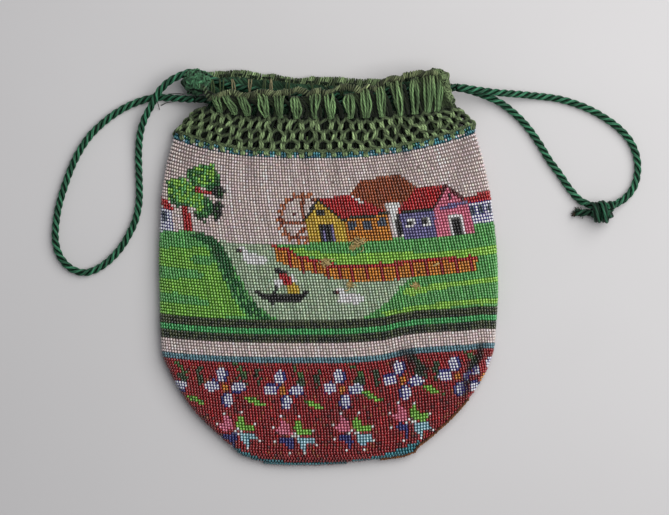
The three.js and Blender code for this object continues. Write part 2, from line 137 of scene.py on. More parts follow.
# Sections of the pouch, as in the CAD model: row height, rise at the left and right, left end,
# right end, crown and turn.
POUCH_SECTIONS = np.array([
    (57.2, 11.0, 14.5, -76.8, 73.2, 14.6, 5.6),
    (52.0, 9.6, 12.3, -78.7, 74.9, 14.4, 5.4),
    (45.0, 8.0, 9.9, -81.0, 77.6, 14.1, 5.2),
    (33.0, 6.3, 7.5, -83.4, 80.7, 13.8, 5.0),
    (16.0, 5.0, 6.0, -84.6, 83.4, 13.6, 4.8),
    (-2.0, 4.2, 5.8, -85.2, 84.9, 13.5, 4.8),
    (-19.0, 3.6, 6.0, -84.8, 85.2, 13.4, 4.8),
    (-36.0, 3.0, 6.3, -84.4, 84.2, 13.2, 4.7),
    (-48.0, 2.8, 6.3, -83.0, 83.0, 12.8, 4.6),
    (-57.0, 2.8, 6.3, -78.9, 80.0, 12.4, 4.5),
    (-66.0, 2.8, 6.2, -73.9, 75.0, 11.8, 4.4),
    (-76.0, 2.6, 5.6, -66.5, 66.7, 10.8, 4.2),
    (-85.0, 2.2, 4.5, -56.9, 56.5, 9.6, 4.0),
    (-92.0, 1.7, 3.0, -48.6, 46.0, 8.2, 3.7),
    (-96.6, 1.1, 1.5, -41.5, 35.0, 6.6, 3.2),
    (-99.2, 0.4, 0.4, -31.0, 6.0, 4.6, 2.6),
])
POUCH_POWER = 2.6
BACK_POWER = 4
BACK_FLAT = 0.4
LEFT_SAG_POWER = 3.2
RIGHT_SAG_POWER = 2.2

# Folds below the crochet: place, half width, depth and length.
FOLDS = [
    (-69, 5, 1.3, 30), (-39, 5, 1.7, 38), (-24, 4, 1.2, 24), (-12, 4, 1.5, 34),
    (4, 5, 1.5, 30), (36, 6, 1.7, 42), (66, 5, 1.4, 34),
]
POUCH_TOP = 57.2  # row where the crochet begins and the folds are deepest
FOLD_RELEASE = 16  # height above it over which they run out

# Creases in the lower half: upper end, lower end, half width and depth.
CREASES = [
    ((77.5, -37), (66.5, -66), 2.0, 1.9),
    ((42.5, -38), (39, -55), 2.6, 1.0),
    ((-9, -50), (-6, -66), 4, 0.7),
]
CREASE_FADES = (0.3, 0.75)  # shares of a crease's length between which it has its full depth

# The openwork's upper edge, the casing's rows and the height of the mouth's rim, as in the CAD model.
GAP = 0.3
BAND_TOP = {
    "y": 73.6, "rise_left": 6.0, "rise_right": 5.8, "left": -64.5, "right": 64.8,
    "crown": 18, "floor": 1.6, "turn": 9.5, "power": 3.5,
}
CASING_ROWS = np.array([  # share of the height, left, right, crown, turn, bulge of the ribs
    (0, -64.5, 64.8, 18.0, 9.5, 0),
    (0.12, -62.4, 63.8, 19.2, 9.8, 0.5),
    (0.36, -60.8, 62.2, 20.0, 10, 1.6),
    (0.64, -64.0, 61.2, 20.0, 10, 1.6),
    (0.88, -69.4, 60.2, 19.4, 10, 0.5),
    (1, -71.2, 59.4, 19.0, 10, 0),
])
RIM = np.array([  # place across, front height, back height
    (-1, 90.4, 90.4), (-0.85, 87.0, 94.0), (-0.62, 86.0, 95.25), (-0.4, 86.2, 93.7), (-0.1, 86.4, 91.7),
    (0.12, 87.0, 90.8), (0.35, 89.0, 90.2), (0.5, 90.4, 90.1), (0.68, 93.4, 93.0), (0.88, 94.6, 94.4),
    (1, 93.8, 93.8),
])

# Colours, as red, green and blue from 0 to 255


def linear(colour):
    share = np.array(colour, float) / 255
    return np.where(share <= 0.04045, share / 12.92, ((share + 0.055) / 1.055) ** 2.4)


BEAD_COLOURS = {
    "pearl": (238, 220, 216),
    "water": (190, 210, 180),
    "mid_green": (94, 172, 90),
    "deep_green": (28, 100, 46),
    "moss": (34, 84, 30),
    "light_green": (162, 220, 88),
    "apple_green": (142, 206, 84),
    "leaf_green": (66, 108, 46),
    "dark_leaf": (50, 72, 40),
    "olive": (66, 76, 40),
    "bottle": (34, 46, 30),
    "stripe_green": (70, 172, 96),
    "black": (24, 22, 22),
    "red": (184, 18, 24),
    "deep_red": (156, 14, 22),
    "wine": (92, 16, 20),
    "brown": (156, 74, 30),
    "tan": (190, 112, 68),
    "orange": (232, 148, 44),
    "yellow": (224, 190, 70),
    "lavender": (130, 124, 174),
    "pink": (242, 136, 162),
    "white": (255, 253, 252),
    "ice": (246, 249, 255),
    "blue": (100, 142, 154),
    "teal": (62, 140, 152),
    "deep_teal": (30, 96, 116),
    "navy": (48, 50, 124),
    "violet": (66, 50, 158),
    "sky": (186, 222, 238),
    "slate": (70, 82, 98),
}
EDGE_COLOURS = {"ice": "violet", "sky": "teal"}  # beads whose edges show another colour
OTHER_EDGE_POWER = 1.6  # of the share of those edges, which stay narrow
OTHER_EDGE_SIZE = 0.97  # of those beads
EDGE_POWER = 1.5  # edges of the other beads are darker than their middles, as painted shade
EDGE_SHADE = 0.58
DEEP_EDGE_SHADE = 0.2
DEEP_EDGED = ("red", "deep_red", "wine", "brown", "orange", "olive", "bottle")
DOTTED = ("ice", "light_green", "apple_green", "pink", "sky", "yellow", "orange", "lavender")
HALF_DOTTED = ("pearl", "water", "white")
HALF_SHARE = 0.45  # of the edge colour at the ends of the half dotted beads
STREAK_SHARE = 0.06  # of it at the ends of all others, which run together up the column
STREAK_LENGTH = 1.28  # of those beads
FADED_YARN = linear((146, 169, 118))
# unfaded yarn darkened as painted shade, for the inner sides of the strands
FRESH_SHADED_YARN = linear((26, 46, 22))
BLEACHED_YARN = linear((186, 176, 132))
SHADED_YARN = linear((26, 40, 20))
MIDDLE_YARN = linear((86, 108, 64))
UNFADED_YARN = linear((88, 146, 104))
# the unfaded yarn's inner sides, in painted shade
UNFADED_DEEP = linear((4, 22, 12))
CORD_TOP = linear((72, 152, 112))
# the cord's green in painted shade, for the grooves between its plies
CORD_DEEP = linear((0, 38, 20))
CORD_FRAYED = linear((84, 70, 48))
THREAD_TAN = linear((234, 204, 140))

# Small helpers


def unit(vectors):
    return vectors / np.maximum(np.linalg.norm(vectors, axis=-1, keepdims=True), 1e-9)


def smoothstep(low, high, value):
    share = np.clip((value - low) / (high - low), 0, 1)
    return share * share * (3 - 2 * share)


def blend(first, second, share):
    return first + (second - first) * share


def lengths_along(line):
    steps = np.linalg.norm(np.diff(line, axis=0), axis=1)
    return np.concatenate([[0], np.cumsum(steps)])


def spaced(line, count):
    """The same line through count points at equal steps."""
    along = lengths_along(line)
    wanted = np.linspace(0, along[-1], count)
    return np.stack([np.interp(wanted, along, line[:, k]) for k in range(3)], axis=1)


def closed(loop):
    """A loop's points with the first one again at the end."""
    return np.vstack([loop, loop[:1]])


def closed_spaced(loop, count):
    return spaced(closed(loop), count + 1)[:-1]


def loop_length(loop):
    return lengths_along(closed(loop))[-1]


STRETCH_POINTS = 16  # between two points of a route
FEWEST_POINTS = 8


def smooth_route(route, step):
    """A smooth line through the points of a route, at equal steps."""
    points = np.array(route, float)
    points = np.vstack([2 * points[0] - points[1], points, 2 * points[-1] - points[-2]])
    pieces = []
    for blends in zip(points, points[1:], points[2:], points[3:]):
        knots = np.cumsum([0] + [np.linalg.norm(q - p) ** 0.5 for p, q in zip(blends, blends[1:])])
        t = np.linspace(knots[1], knots[2], STRETCH_POINTS, endpoint=False)[:, None]
        for spans in (((0, 1), (1, 2), (2, 3)), ((0, 2), (1, 3)), ((1, 2),)):
            blends = [
                blend(p, q, (t - knots[low]) / (knots[high] - knots[low]))
                for p, q, (low, high) in zip(blends, blends[1:], spans)
            ]
        pieces.append(blends[0])
    line = np.vstack(pieces + [points[-2:-1]])
    return spaced(line, max(FEWEST_POINTS, round(lengths_along(line)[-1] / step)))


def smooth_table(rows, at):
    """Rows of a table read at any value of its first column, on a smooth curve through them."""
    rows = rows[np.argsort(rows[:, 0])]
    keys, values = rows[:, 0], rows[:, 1:]
    slopes = np.gradient(values, keys, axis=0)
    i = np.clip(np.searchsorted(keys, at) - 1, 0, len(keys) - 2)
    width = (keys[i + 1] - keys[i])[:, None]
    t = np.clip((at - keys[i])[:, None] / width, 0, 1)
    start = values[i] * (1 + 2 * t) * (1 - t) ** 2 + slopes[i] * width * t * (1 - t) ** 2
    end = values[i + 1] * t * t * (3 - 2 * t) + slopes[i + 1] * width * t * t * (t - 1)
    return start + end


def frames_along(lines):
    """Directions beside and above lines (lines x points x 3), carried along them without twist."""
    along = unit(np.gradient(lines, axis=1))
    level = np.abs(along[:, 0, 2:]) < 0.9
    side = np.empty_like(lines)
    side[:, 0] = unit(np.cross(np.where(level, [[0.0, 0.0, 1.0]], [[1.0, 0.0, 0.0]]), along[:, 0]))
    for i in range(1, lines.shape[1]):
        before = side[:, i - 1]
        side[:, i] = unit(before - along[:, i] * np.sum(before * along[:, i], axis=1, keepdims=True))
    return side, np.cross(along, side)


def above_table(lines, radius):
    lines[..., 2] = np.maximum(lines[..., 2], radius)
    return lines


# Meshes

BAKE_MAP = "OFBake"
CELL_MARGIN = 0.06  # of a strand's own place in the map for baking
YARN_MAP = "yarn"
BAND_STEP = TURN / 10  # one band of Blender's diagonal wave texture


def add_mesh(name, points, triangles, material, tints, maps=None):
    """A smooth mesh of triangles. tints are colours of the points, maps are corner places by name."""
    points = np.array(points)
    points[:, 2] = np.maximum(points[:, 2], 0)  # nothing reaches below the table
    mesh = bpy.data.meshes.new(name)
    mesh.vertices.add(len(points))
    mesh.vertices.foreach_set("co", (points * MM).astype(np.float32).ravel())
    mesh.loops.add(triangles.size)
    mesh.loops.foreach_set("vertex_index", triangles.astype(np.int32).ravel())
    mesh.polygons.add(len(triangles))
    mesh.polygons.foreach_set("loop_start", np.arange(0, triangles.size, 3, dtype=np.int32))
    mesh.polygons.foreach_set("use_smooth", np.ones(len(triangles), bool))
    mesh.update(calc_edges=True)
    mesh.validate()
    layer = mesh.color_attributes.new("tint", "FLOAT_COLOR", "POINT")
    full_tints = np.hstack([tints, np.ones((len(points), 1))])
    layer.data.foreach_set("color", full_tints.astype(np.float32).ravel())
    for map_name, places in (maps or {}).items():
        layer = mesh.uv_layers.new(name=map_name)
        layer.data.foreach_set("uv", places.astype(np.float32).ravel())
    mesh.materials.append(material)
    return add_object(name, mesh)


def finish_piece(piece, slot, *nodes):
    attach(piece, "root")
    if nodes:
        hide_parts(*nodes)
    return piece


class Strands:
    """Collects round strands of yarn for one mesh.

    filaments is the number of ridges round a strand, filament_lead the length from one to the next.
    """

    def __init__(self, filaments, filament_lead):
        self.filaments = filaments
        self.filament_lead = filament_lead
        self.points, self.triangles, self.tints = [], [], []
        self.strand_ids, self.shares, self.yarn = [], [], []
        self.point_count = 0
        self.strand_count = 0

    def add(self, lines, radius, top, deep, sides=6, out=(0, 0, 1), crest=(-0.2, 0.95)):
        """lines is strands x points x 3. The side of a strand towards out takes the top colour.

        crest tells from which to which facing, 1 being straight outwards, the deep colour gives way. The
        deep colour, on the side turned away from out, is mostly painted shade.
        """
        lines = np.asarray(lines, float)
        if lines.ndim == 2:
            lines = lines[None]
        strands, count, _ = lines.shape
        side, up = frames_along(lines)
        angle = (TURN * np.arange(sides) / sides)[:, None]
        ring = side[:, :, None] * np.cos(angle) + up[:, :, None] * np.sin(angle)
        radius = np.broadcast_to(radius, (strands, count))[:, :, None, None]
        out, top, deep = (np.broadcast_to(each, lines.shape)[:, :, None] for each in (out, top, deep))
        share = smoothstep(*crest, np.sum(ring * out, axis=3))[..., None]
        self.points.append((lines[:, :, None] + ring * radius).reshape(-1, 3))
        self.tints.append(blend(deep, top, share).reshape(-1, 3))
        first = self.point_count
        self.point_count += strands * count * sides
        self._add_walls(first, strands, count, sides, lengths_along(lines[0]))
        for row in (0, count - 1):
            self._add_ends(first, strands, count, sides, row, lines[:, row], deep[:, row, 0])
        self.strand_count += strands

    def _add_triangles(self, index, strand, shares, yarn):
        self.triangles.append(index.reshape(-1, 3))
        self.strand_ids.append(strand.ravel() + self.strand_count)
        self.shares.append(shares.reshape(-1, 3, 2))
        self.yarn.append(BAND_STEP * yarn.reshape(-1, 3, 2))

    def _add_walls(self, first, strands, count, sides, distance):
        s, i, j = (each.ravel()[:, None, None] for each in np.indices((strands, count - 1, sides)))
        i = i + np.array([[0, 0, 1], [0, 1, 1]])
        j = j + np.array([[0, 1, 1], [0, 1, 0]])
        index = first + (s * count + i) * sides + j % sides
        shares = np.stack([j / sides, i / (count - 1)], axis=-1)
        yarn = np.stack([self.filaments * j / sides, distance[i] / self.filament_lead], axis=-1)
        self._add_triangles(index, np.repeat(s, 2), shares, yarn)

    def _add_ends(self, first, strands, count, sides, row, middles, tints):
        """Closes the strands at their first or last row of points."""
        strand = np.repeat(np.arange(strands)[:, None], sides, axis=1)
        rim = first + (strand * count + row) * sides
        a, b = rim + np.arange(sides), rim + (np.arange(sides) + 1) % sides
        fan = np.stack([self.point_count + strand] + ([a, b] if row else [b, a]), axis=-1)
        shares = np.full((*fan.shape, 2), row / (count - 1))
        self._add_triangles(fan, strand, shares, np.zeros_like(shares))
        self.points.append(middles)
        self.tints.append(tints)
        self.point_count += strands

    def piece(self, name, material):
        columns = max(1, math.ceil(math.sqrt(3 * self.strand_count)))
        rows = math.ceil(self.strand_count / columns)
        ids = np.concatenate(self.strand_ids)
        cell = np.stack([ids % columns, ids // columns], axis=1)[:, None]
        shares = CELL_MARGIN + (1 - 2 * CELL_MARGIN) * np.concatenate(self.shares)
        maps = {
            BAKE_MAP: (cell + shares) / np.array([columns, rows]),
            YARN_MAP: np.concatenate(self.yarn),
        }
        tints = np.vstack(self.tints)
        return add_mesh(name, np.vstack(self.points), np.vstack(self.triangles), material, tints, maps)


# Materials

WHITE = (1.0, 1.0, 1.0)


def grey(value):
    return (value, value, value)


class Nodes:
    """A material's nodes, made and joined by name."""

    def __init__(self, name):
        self.material = bpy.data.materials.new(name)
        self.material.use_nodes = True
        self.tree = self.material.node_tree
        self.shader = self.tree.nodes["Principled BSDF"]
        self.place = self.add("ShaderNodeTexCoord")

    def add(self, kind, values=None, **settings):
        node = self.tree.nodes.new(kind)
        for key, value in settings.items():
            setattr(node, key, value)
        return self.fill(node, values or {})

    def fill(self, node, values):
        for key, value in values.items():
            node.inputs[key].default_value = value
        return node

    def join(self, source, output, target, socket):
        self.tree.links.new(source.outputs[output], target.inputs[socket])

    def texture(self, kind, values, **settings):
        """A texture that is fixed to the piece."""
        node = self.add(kind, values, **settings)
        self.join(self.place, "Object", node, "Vector")
        return node

    def ramp(self, source, low, high, low_colour, high_colour=WHITE):
        ramp = self.add("ShaderNodeValToRGB")
        first, last = ramp.color_ramp.elements
        first.position, last.position = low, high
        first.color, last.color = (*low_colour, 1), (*high_colour, 1)
        self.join(source, "Fac", ramp, "Fac")
        return ramp

    def colour(self, *shades):
        """Colours the surface with the tints of its points, multiplied by these shades."""
        source, output = self.add("ShaderNodeVertexColor", layer_name="tint"), "Color"
        for shade in shades:
            mix = self.add("ShaderNodeMix", {0: 1.0}, data_type="RGBA", blend_type="MULTIPLY")
            self.join(source, output, mix, 6)
            self.join(shade, "Color", mix, 7)
            source, output = mix, 2
        self.join(source, output, self.shader, "Base Color")

    def bump(self, source, strength, distance, under=None):
        bump = self.add("ShaderNodeBump", {"Strength": strength, "Distance": distance})
        self.join(source, "Fac", bump, "Height")
        if under:
            self.join(under, "Normal", bump, "Normal")
        self.join(bump, "Normal", self.shader, "Normal")
        return bump


def bead_material():
    nodes = Nodes("seed_beads")
    cloud = nodes.texture("ShaderNodeTexNoise", {"Scale": 900, "Detail": 3, "Roughness": 0.6})
    nodes.colour(nodes.ramp(cloud, 0.3, 0.75, grey(0.72)))
    gloss = nodes.ramp(cloud, 0.3, 0.8, grey(0.14), grey(0.34))
    nodes.join(gloss, "Color", nodes.shader, "Roughness")
    nodes.fill(nodes.shader, {"IOR": 1.6, "Coat Weight": 0.7, "Coat Roughness": 0.12})
    return nodes.material


def yarn_material(name, roughness, groove, sheen, fuzz):
    """groove is the brightness between the filaments, fuzz how much the fine hairs stand out."""
    nodes = Nodes(name)
    strand = nodes.add("ShaderNodeUVMap", uv_map=YARN_MAP)
    waves = {"Scale": 1, "Distortion": 0.25, "Detail": 1}
    twist = nodes.add("ShaderNodeTexWave", waves, bands_direction="DIAGONAL")
    nodes.join(strand, "UV", twist, "Vector")
    fibre = nodes.texture("ShaderNodeTexNoise", {"Scale": 1500, "Detail": 4, "Roughness": 0.7})
    wear = nodes.texture("ShaderNodeTexNoise", {"Scale": 160, "Detail": 2})
    nodes.colour(
        nodes.ramp(twist, 0.0, 0.6, grey(groove)),
        nodes.ramp(fibre, 0.25, 0.75, grey(0.62)),
        nodes.ramp(wear, 0.35, 0.7, (0.74, 0.78, 0.76)),
    )
    ridges = nodes.bump(twist, 0.5, 0.00018)
    nodes.bump(fibre, fuzz, 0.00012, ridges)
    nodes.fill(nodes.shader, {"Roughness": roughness, "Specular IOR Level": 0.25})
    nodes.fill(nodes.shader, {"Sheen Weight": sheen, "Sheen Roughness": 0.5})
    return nodes.material


def ground_material():
    nodes = Nodes("knit_ground")
    waves = {"Scale": 218, "Distortion": 1.2, "Detail": 2, "Detail Scale": 2}
    rows = nodes.texture("ShaderNodeTexWave", waves, bands_direction="Y")
    fibre = nodes.texture("ShaderNodeTexNoise", {"Scale": 1200, "Detail": 4})
    nodes.colour(nodes.ramp(rows, 0.1, 0.8, grey(0.7)), nodes.ramp(fibre, 0.25, 0.75, grey(0.7)))
    nodes.bump(rows, 0.6, 0.0003)
    nodes.fill(nodes.shader, {"Roughness": 0.9})
    return nodes.material


def floor_material():
    nodes = Nodes("pale_paper")
    cloud = nodes.texture("ShaderNodeTexNoise", {"Scale": 7, "Detail": 3})
    tone = nodes.ramp(cloud, 0.3, 0.7, (0.60, 0.59, 0.592), (0.62, 0.61, 0.613))
    nodes.join(tone, "Color", nodes.shader, "Base Color")
    nodes.fill(nodes.shader, {"Roughness": 0.8})
    return nodes.material


BEADS = bead_material()
CROCHET_YARN = yarn_material("crochet_yarn", 0.85, 0.5, 0.08, 0.5)
CORD_YARN = yarn_material("cord_yarn", 0.6, 0.4, 0.0, 0.3)
THREAD = yarn_material("bare_thread", 0.8, 0.7, 0.1, 0.3)
KNIT_GROUND = ground_material()

# Floor

FLOOR_HALF = 1.6
FLOOR_HEIGHT = -0.00005
floor_mesh = bpy.data.meshes.new("floor")
floor_square = ((-1, -1), (1, -1), (1, 1), (-1, 1))
floor_corners = [(x * FLOOR_HALF, y * FLOOR_HALF, FLOOR_HEIGHT) for x, y in floor_square]
floor_mesh.from_pydata(floor_corners, [], [(0, 1, 2, 3)])
floor_mesh.materials.append(floor_material())
floor = add_object("floor", floor_mesh)

# Drawstring

PLIES = 3
PLY_RADIUS = 0.88
PLY_OFFSET = 1.02  # from the cord's middle to a ply's middle
PLY_BRIGHTNESS = np.array([1.15, 0.62, 0.92])[:, None, None]
CORD_FILAMENTS = (4, 3.2)
CORD_LEAD = 12.4  # length of one turn of the plies
KNOT_LEAD = 56  # pulled tight in the knot's wraps, the plies turn more slowly
CORD_CREST = (0.35, 1.0)
CORD_STEP = 0.75  # between the points of a cord, and of the knot's short ends
END_STEP = 0.6
KNOT_POINTS = 90
KNOT_BULGE = (1.02, 0.16)  # share of the wraps' radius in the middle, and how much less at both ends
KNOT_DARK = 0.3  # shade of the wraps beside the tail
KNOT_CORE = 4.6  # half length of the core
CORE_OFFSET = 1.7
CORE_LEAD = 14
CORE_RADIUS = 1.9
LEADS_SHADE = 0.8
TAIL_SHADE = 0.4
FRAYED_HAIRS = 70
FRAYED_SCATTER = np.array([1.2, 0.75, 0.75])  # of the hairs' roots
FRAYED_INSET = np.array([1.2, 0, 0])  # of the roots from the cut end
FRAYED_SHARE = 0.7  # of the hairs, the others being the cord's green, darkened as painted shade like the tail
HAIR_RADIUS = 0.2
FRONT_SHADE = 0.4  # less worn inside the casing, and darker there as painted shade under the crochet
BACK_SHADE = 0.75


def twisted_plies(line, plies, offset, lead):
    """Lines of the plies that are laid round one line, turning to the left."""
    side, up = frames_along(line[None])
    turn = np.arange(plies)[:, None] / plies - lengths_along(line) / lead
    angle = (TURN * turn)[..., None]
    return line + offset * (side * np.cos(angle) + up * np.sin(angle))


def add_cord(strands, line, lead, top, deep=CORD_DEEP):
    """Plies that are light where they face away from the cord's middle, with painted shade dark in the
    grooves.
    """
    plies = twisted_plies(line, PLIES, PLY_OFFSET, lead)
    tops = top * PLY_BRIGHTNESS
    strands.add(plies, PLY_RADIUS, tops, deep, sides=8, out=unit(plies - line), crest=CORD_CREST)


def cord_piece(name, route, node, shade=1.0):
    line = smooth_route(route, CORD_STEP)
    strands = Strands(*CORD_FILAMENTS)
    add_cord(strands, line, CORD_LEAD, CORD_TOP * shade, CORD_DEEP * shade)
    return finish_piece(strands.piece(name, CORD_YARN), "cord_yarn", node), line


def knot_piece():
    """Wraps round an axis along X over a core of cord, with a cut tail that frays."""
    strands = Strands(*CORD_FILAMENTS)
    turn = np.linspace(0, TURN * KNOT_TURNS, KNOT_POINTS)
    length = KNOT_TURNS * KNOT_PITCH
    across = turn / TURN * KNOT_PITCH - length / 2
    radius = KNOT_WRAP_RADIUS * (KNOT_BULGE[0] - KNOT_BULGE[1] * (2 * across / length) ** 2)
    wrap = np.stack([across, radius * np.cos(turn), radius * np.sin(turn)], axis=1) + KNOT_CENTRE
    wrap = spaced(wrap, KNOT_POINTS)
    shade = blend(KNOT_DARK, 1, smoothstep(-4, 0, wrap[:, :1] - KNOT_CENTRE[0]))
    add_cord(strands, wrap, KNOT_LEAD, CORD_TOP * shade)
    core = KNOT_CENTRE + np.linspace(-KNOT_CORE, KNOT_CORE, 14)[:, None] * [1, 0, 0]
    core = twisted_plies(core, PLIES, CORE_OFFSET, CORE_LEAD)
    strands.add(core, CORE_RADIUS, CORD_TOP * TAIL_SHADE, CORD_DEEP, 8)
    for route in KNOT_LEADS:
        add_cord(strands, smooth_route(route, END_STEP), CORD_LEAD, CORD_TOP * LEADS_SHADE)
    tail = smooth_route(KNOT_TAIL, END_STEP)
    add_cord(strands, tail, CORD_LEAD, CORD_TOP * TAIL_SHADE, CORD_DEEP * 0.7)
    add_frayed_end(strands, tail[-1])
    return finish_piece(strands.piece("drawstring_knot_yarn", CORD_YARN), "cord_yarn", "drawstring_knot")


def add_frayed_end(strands, end):
    """Short worn hairs where the cord is cut."""
    start = end + FRAYED_SCATTER * rng.normal(0, 1, (FRAYED_HAIRS, 3)) + FRAYED_INSET
    reach = np.stack([
        -rng.uniform(0.3, 1.5, FRAYED_HAIRS),
        rng.normal(0, 1.0, FRAYED_HAIRS),
        rng.uniform(-0.9, 0.6, FRAYED_HAIRS),
    ], axis=1)
    hairs = start[:, None] + reach[:, None] * np.linspace(0, 1, 5)[:, None]
    frayed = np.where(rng.random((FRAYED_HAIRS, 1, 1)) < FRAYED_SHARE, CORD_FRAYED, CORD_TOP * 0.3)
    strands.add(above_table(hairs, HAIR_RADIUS), HAIR_RADIUS, frayed, frayed * 0.3, 4)


cord_piece("drawstring_front_plies", FRONT_RUN, "drawstring_front_run", FRONT_SHADE)
cord_piece("drawstring_back_plies", BACK_RUN, "drawstring_back_run", BACK_SHADE)
left_loop, left_line = cord_piece("drawstring_left_plies", LEFT_LOOP, "drawstring_left_loop")
right_outer, outer_line = cord_piece("drawstring_outer_plies", RIGHT_OUTER, "drawstring_right_outer")
right_inner, inner_line = cord_piece("drawstring_inner_plies", RIGHT_INNER, "drawstring_right_inner")
knot = knot_piece()

# Cloth walls

PLACES = 360  # over the front of a section, and as many underneath
half_turn = np.linspace(0, math.pi, PLACES, endpoint=False)
ACROSS = np.concatenate([-np.cos(half_turn), np.cos(half_turn)])  # from -1 at the left to 1, and back
ON_FRONT = np.arange(2 * PLACES) < PLACES


def fold_depth(x, y):
    depth = np.zeros_like(x)
    for middle, width, deepest, length in FOLDS:
        below = smoothstep(POUCH_TOP - length, POUCH_TOP, y)
        above = 1 - smoothstep(POUCH_TOP, POUCH_TOP + FOLD_RELEASE, y)
        depth += deepest * np.exp(-(((x - middle) / width) ** 2)) * below * above
    return depth


def crease_depth(x, y):
    depth = np.zeros_like(x)
    for start, end, width, deepest in CREASES:
        way = np.subtract(end, start)
        length = np.hypot(*way)
        along = ((x - start[0]) * way[0] + (y - start[1]) * way[1]) / length
        beside = ((x - start[0]) * way[1] - (y - start[1]) * way[0]) / length
        full_from, full_to = np.multiply(CREASE_FADES, length)
        fade = smoothstep(0, full_from, along) * (1 - smoothstep(full_to, length, along))
        depth += deepest * np.exp(-((beside / width) ** 2)) * fade
    return depth


def row_height(row, across):
    rise = np.where(across < 0, row["rise_left"], row["rise_right"])
    power = np.where(across < 0, LEFT_SAG_POWER, RIGHT_SAG_POWER)
    return row["y"] + rise * np.abs(across) ** power


def section_line(row):
    """Points of one closed section."""
    size = np.abs(ACROSS)
    x = blend(row["left"], row["right"], (ACROSS + 1) / 2)
    bend = np.where(ON_FRONT, size, np.clip((size - BACK_FLAT) / (1 - BACK_FLAT), 0, 1))
    power = np.where(ON_FRONT, row["power"], BACK_POWER)
    fullness = np.clip(1 - bend**power, 0, 1) ** (1 / power)
    reach = np.where(ON_FRONT, row["crown"], row["floor"]) - row["turn"]
    y = row_height(row, ACROSS)
    folded = np.where(ON_FRONT, (fold_depth(x, row["y"]) + crease_depth(x, y)) * fullness, 0)
    return np.stack([x, y, row["turn"] + reach * fullness - folded], axis=1)


class Wall:
    """A closed band of cloth, read at any share round it and up it, and out from it."""

    def __init__(self, rows):
        self.points = np.array(rows)
        around = np.roll(self.points, -1, axis=1) - np.roll(self.points, 1, axis=1)
        up = np.gradient(self.points, axis=0)
        self.normals = unit(np.cross(around, up))

    def _read(self, grid, round_share, up_share):
        rows, columns, _ = grid.shape
        u = (np.asarray(round_share, float) % 1) * columns
        v = np.clip(np.asarray(up_share, float), 0, 1) * (rows - 1)
        j = np.floor(u).astype(int) % columns
        i = np.clip(np.floor(v).astype(int), 0, rows - 2)
        fu, fv = (u - np.floor(u))[..., None], (v - i)[..., None]
        k = (j + 1) % columns
        low, high = (blend(grid[row, j], grid[row, k], fu) for row in (i, i + 1))
        return blend(low, high, fv)

    def at(self, round_share, up_share, out=0.0):
        round_share, up_share, out = np.broadcast_arrays(round_share, up_share, out)
        points = self._read(self.points, round_share, up_share)
        return points + out[..., None] * self.normal(round_share, up_share)

    def normal(self, round_share, up_share):
        round_share, up_share = np.broadcast_arrays(round_share, up_share)
        return unit(self._read(self.normals, round_share, up_share))


def pouch_row(y):
    values = smooth_table(POUCH_SECTIONS, np.array([y]))[0]
    names = ("rise_left", "rise_right", "left", "right", "crown", "turn")
    return {"y": y, "floor": 0, "power": POUCH_POWER, **dict(zip(names, values))}


# Beads

ROW_PITCH = 1.44
COLUMN_PITCH = 1.5
FIRST_ROW = 56.6
ROW_COUNT = 109
FOOT_RINGS = (0.66, 0.25)  # rings of beads that close the foot, as shares of its thickness
FOOT_DROP = 0.7
COLUMN_LEAN = math.tan(math.radians(8.5))
WIDEST_ROW = -10
SIDE_STEP = 0.4  # along the row, to find a bead's sideways direction
BEAD_DEPTH = 0.72  # of a bead's middle below the pouch's outer surface
BEAD_HALF = np.array([0.655, 0.775, 0.62])  # along the row, up the column, outwards
BEAD_RINGS = ((0.74, 0.68), (1.0, -0.12))  # radius and height of a bead's rings of corners
BEAD_FOOT = -0.95
EDGE_REACH = (0, 0.12, 1, 1)  # share of the edge colour at the top, the rings and the foot
BEAD_SPIN = 0.35  # most turn of a bead in its place
BEAD_TILT = 0.12
BEAD_SPREAD = 0.045  # of sizes and places
BEAD_CELL = 0.36  # reach of a bead in its own place of the map for baking
FRONT_BEAD_SIDES = 7
BACK_BEAD_SIDES = 5
SPLIT_ROW = -18  # the beads are two pieces on each side, above and below this row
MISSING_SHARE = 0.0012  # of the beads, lost here and there

ROW_HEIGHTS = (FIRST_ROW - ROW_PITCH * np.arange(ROW_COUNT))[::-1]  # from the lowest up
pouch = Wall([section_line(pouch_row(y)) for y in ROW_HEIGHTS])
WIDEST_LENGTH = loop_length(section_line(pouch_row(WIDEST_ROW)))

# Where a fold pushes the rows of the front up at the right: place across, and how far.
ROW_RISES = np.array([
    (5, 0), (18, 0.4), (28, 1.0), (36, 2.6), (44, 3.3), (52, 3.1), (60, 2.7), (68, 2.2),
    (77, 1.9), (84, 0.6),
])
RISE_ABOVE = (-6, -27)  # rows between which the rise begins
RISE_BELOW = (-52, -94)  # rows between which it ends


def row_rise(x, y):
    reach = smoothstep(*RISE_ABOVE, y) * (1 - smoothstep(*RISE_BELOW, y))
    return np.interp(x, ROW_RISES[:, 0], ROW_RISES[:, 1]) * reach


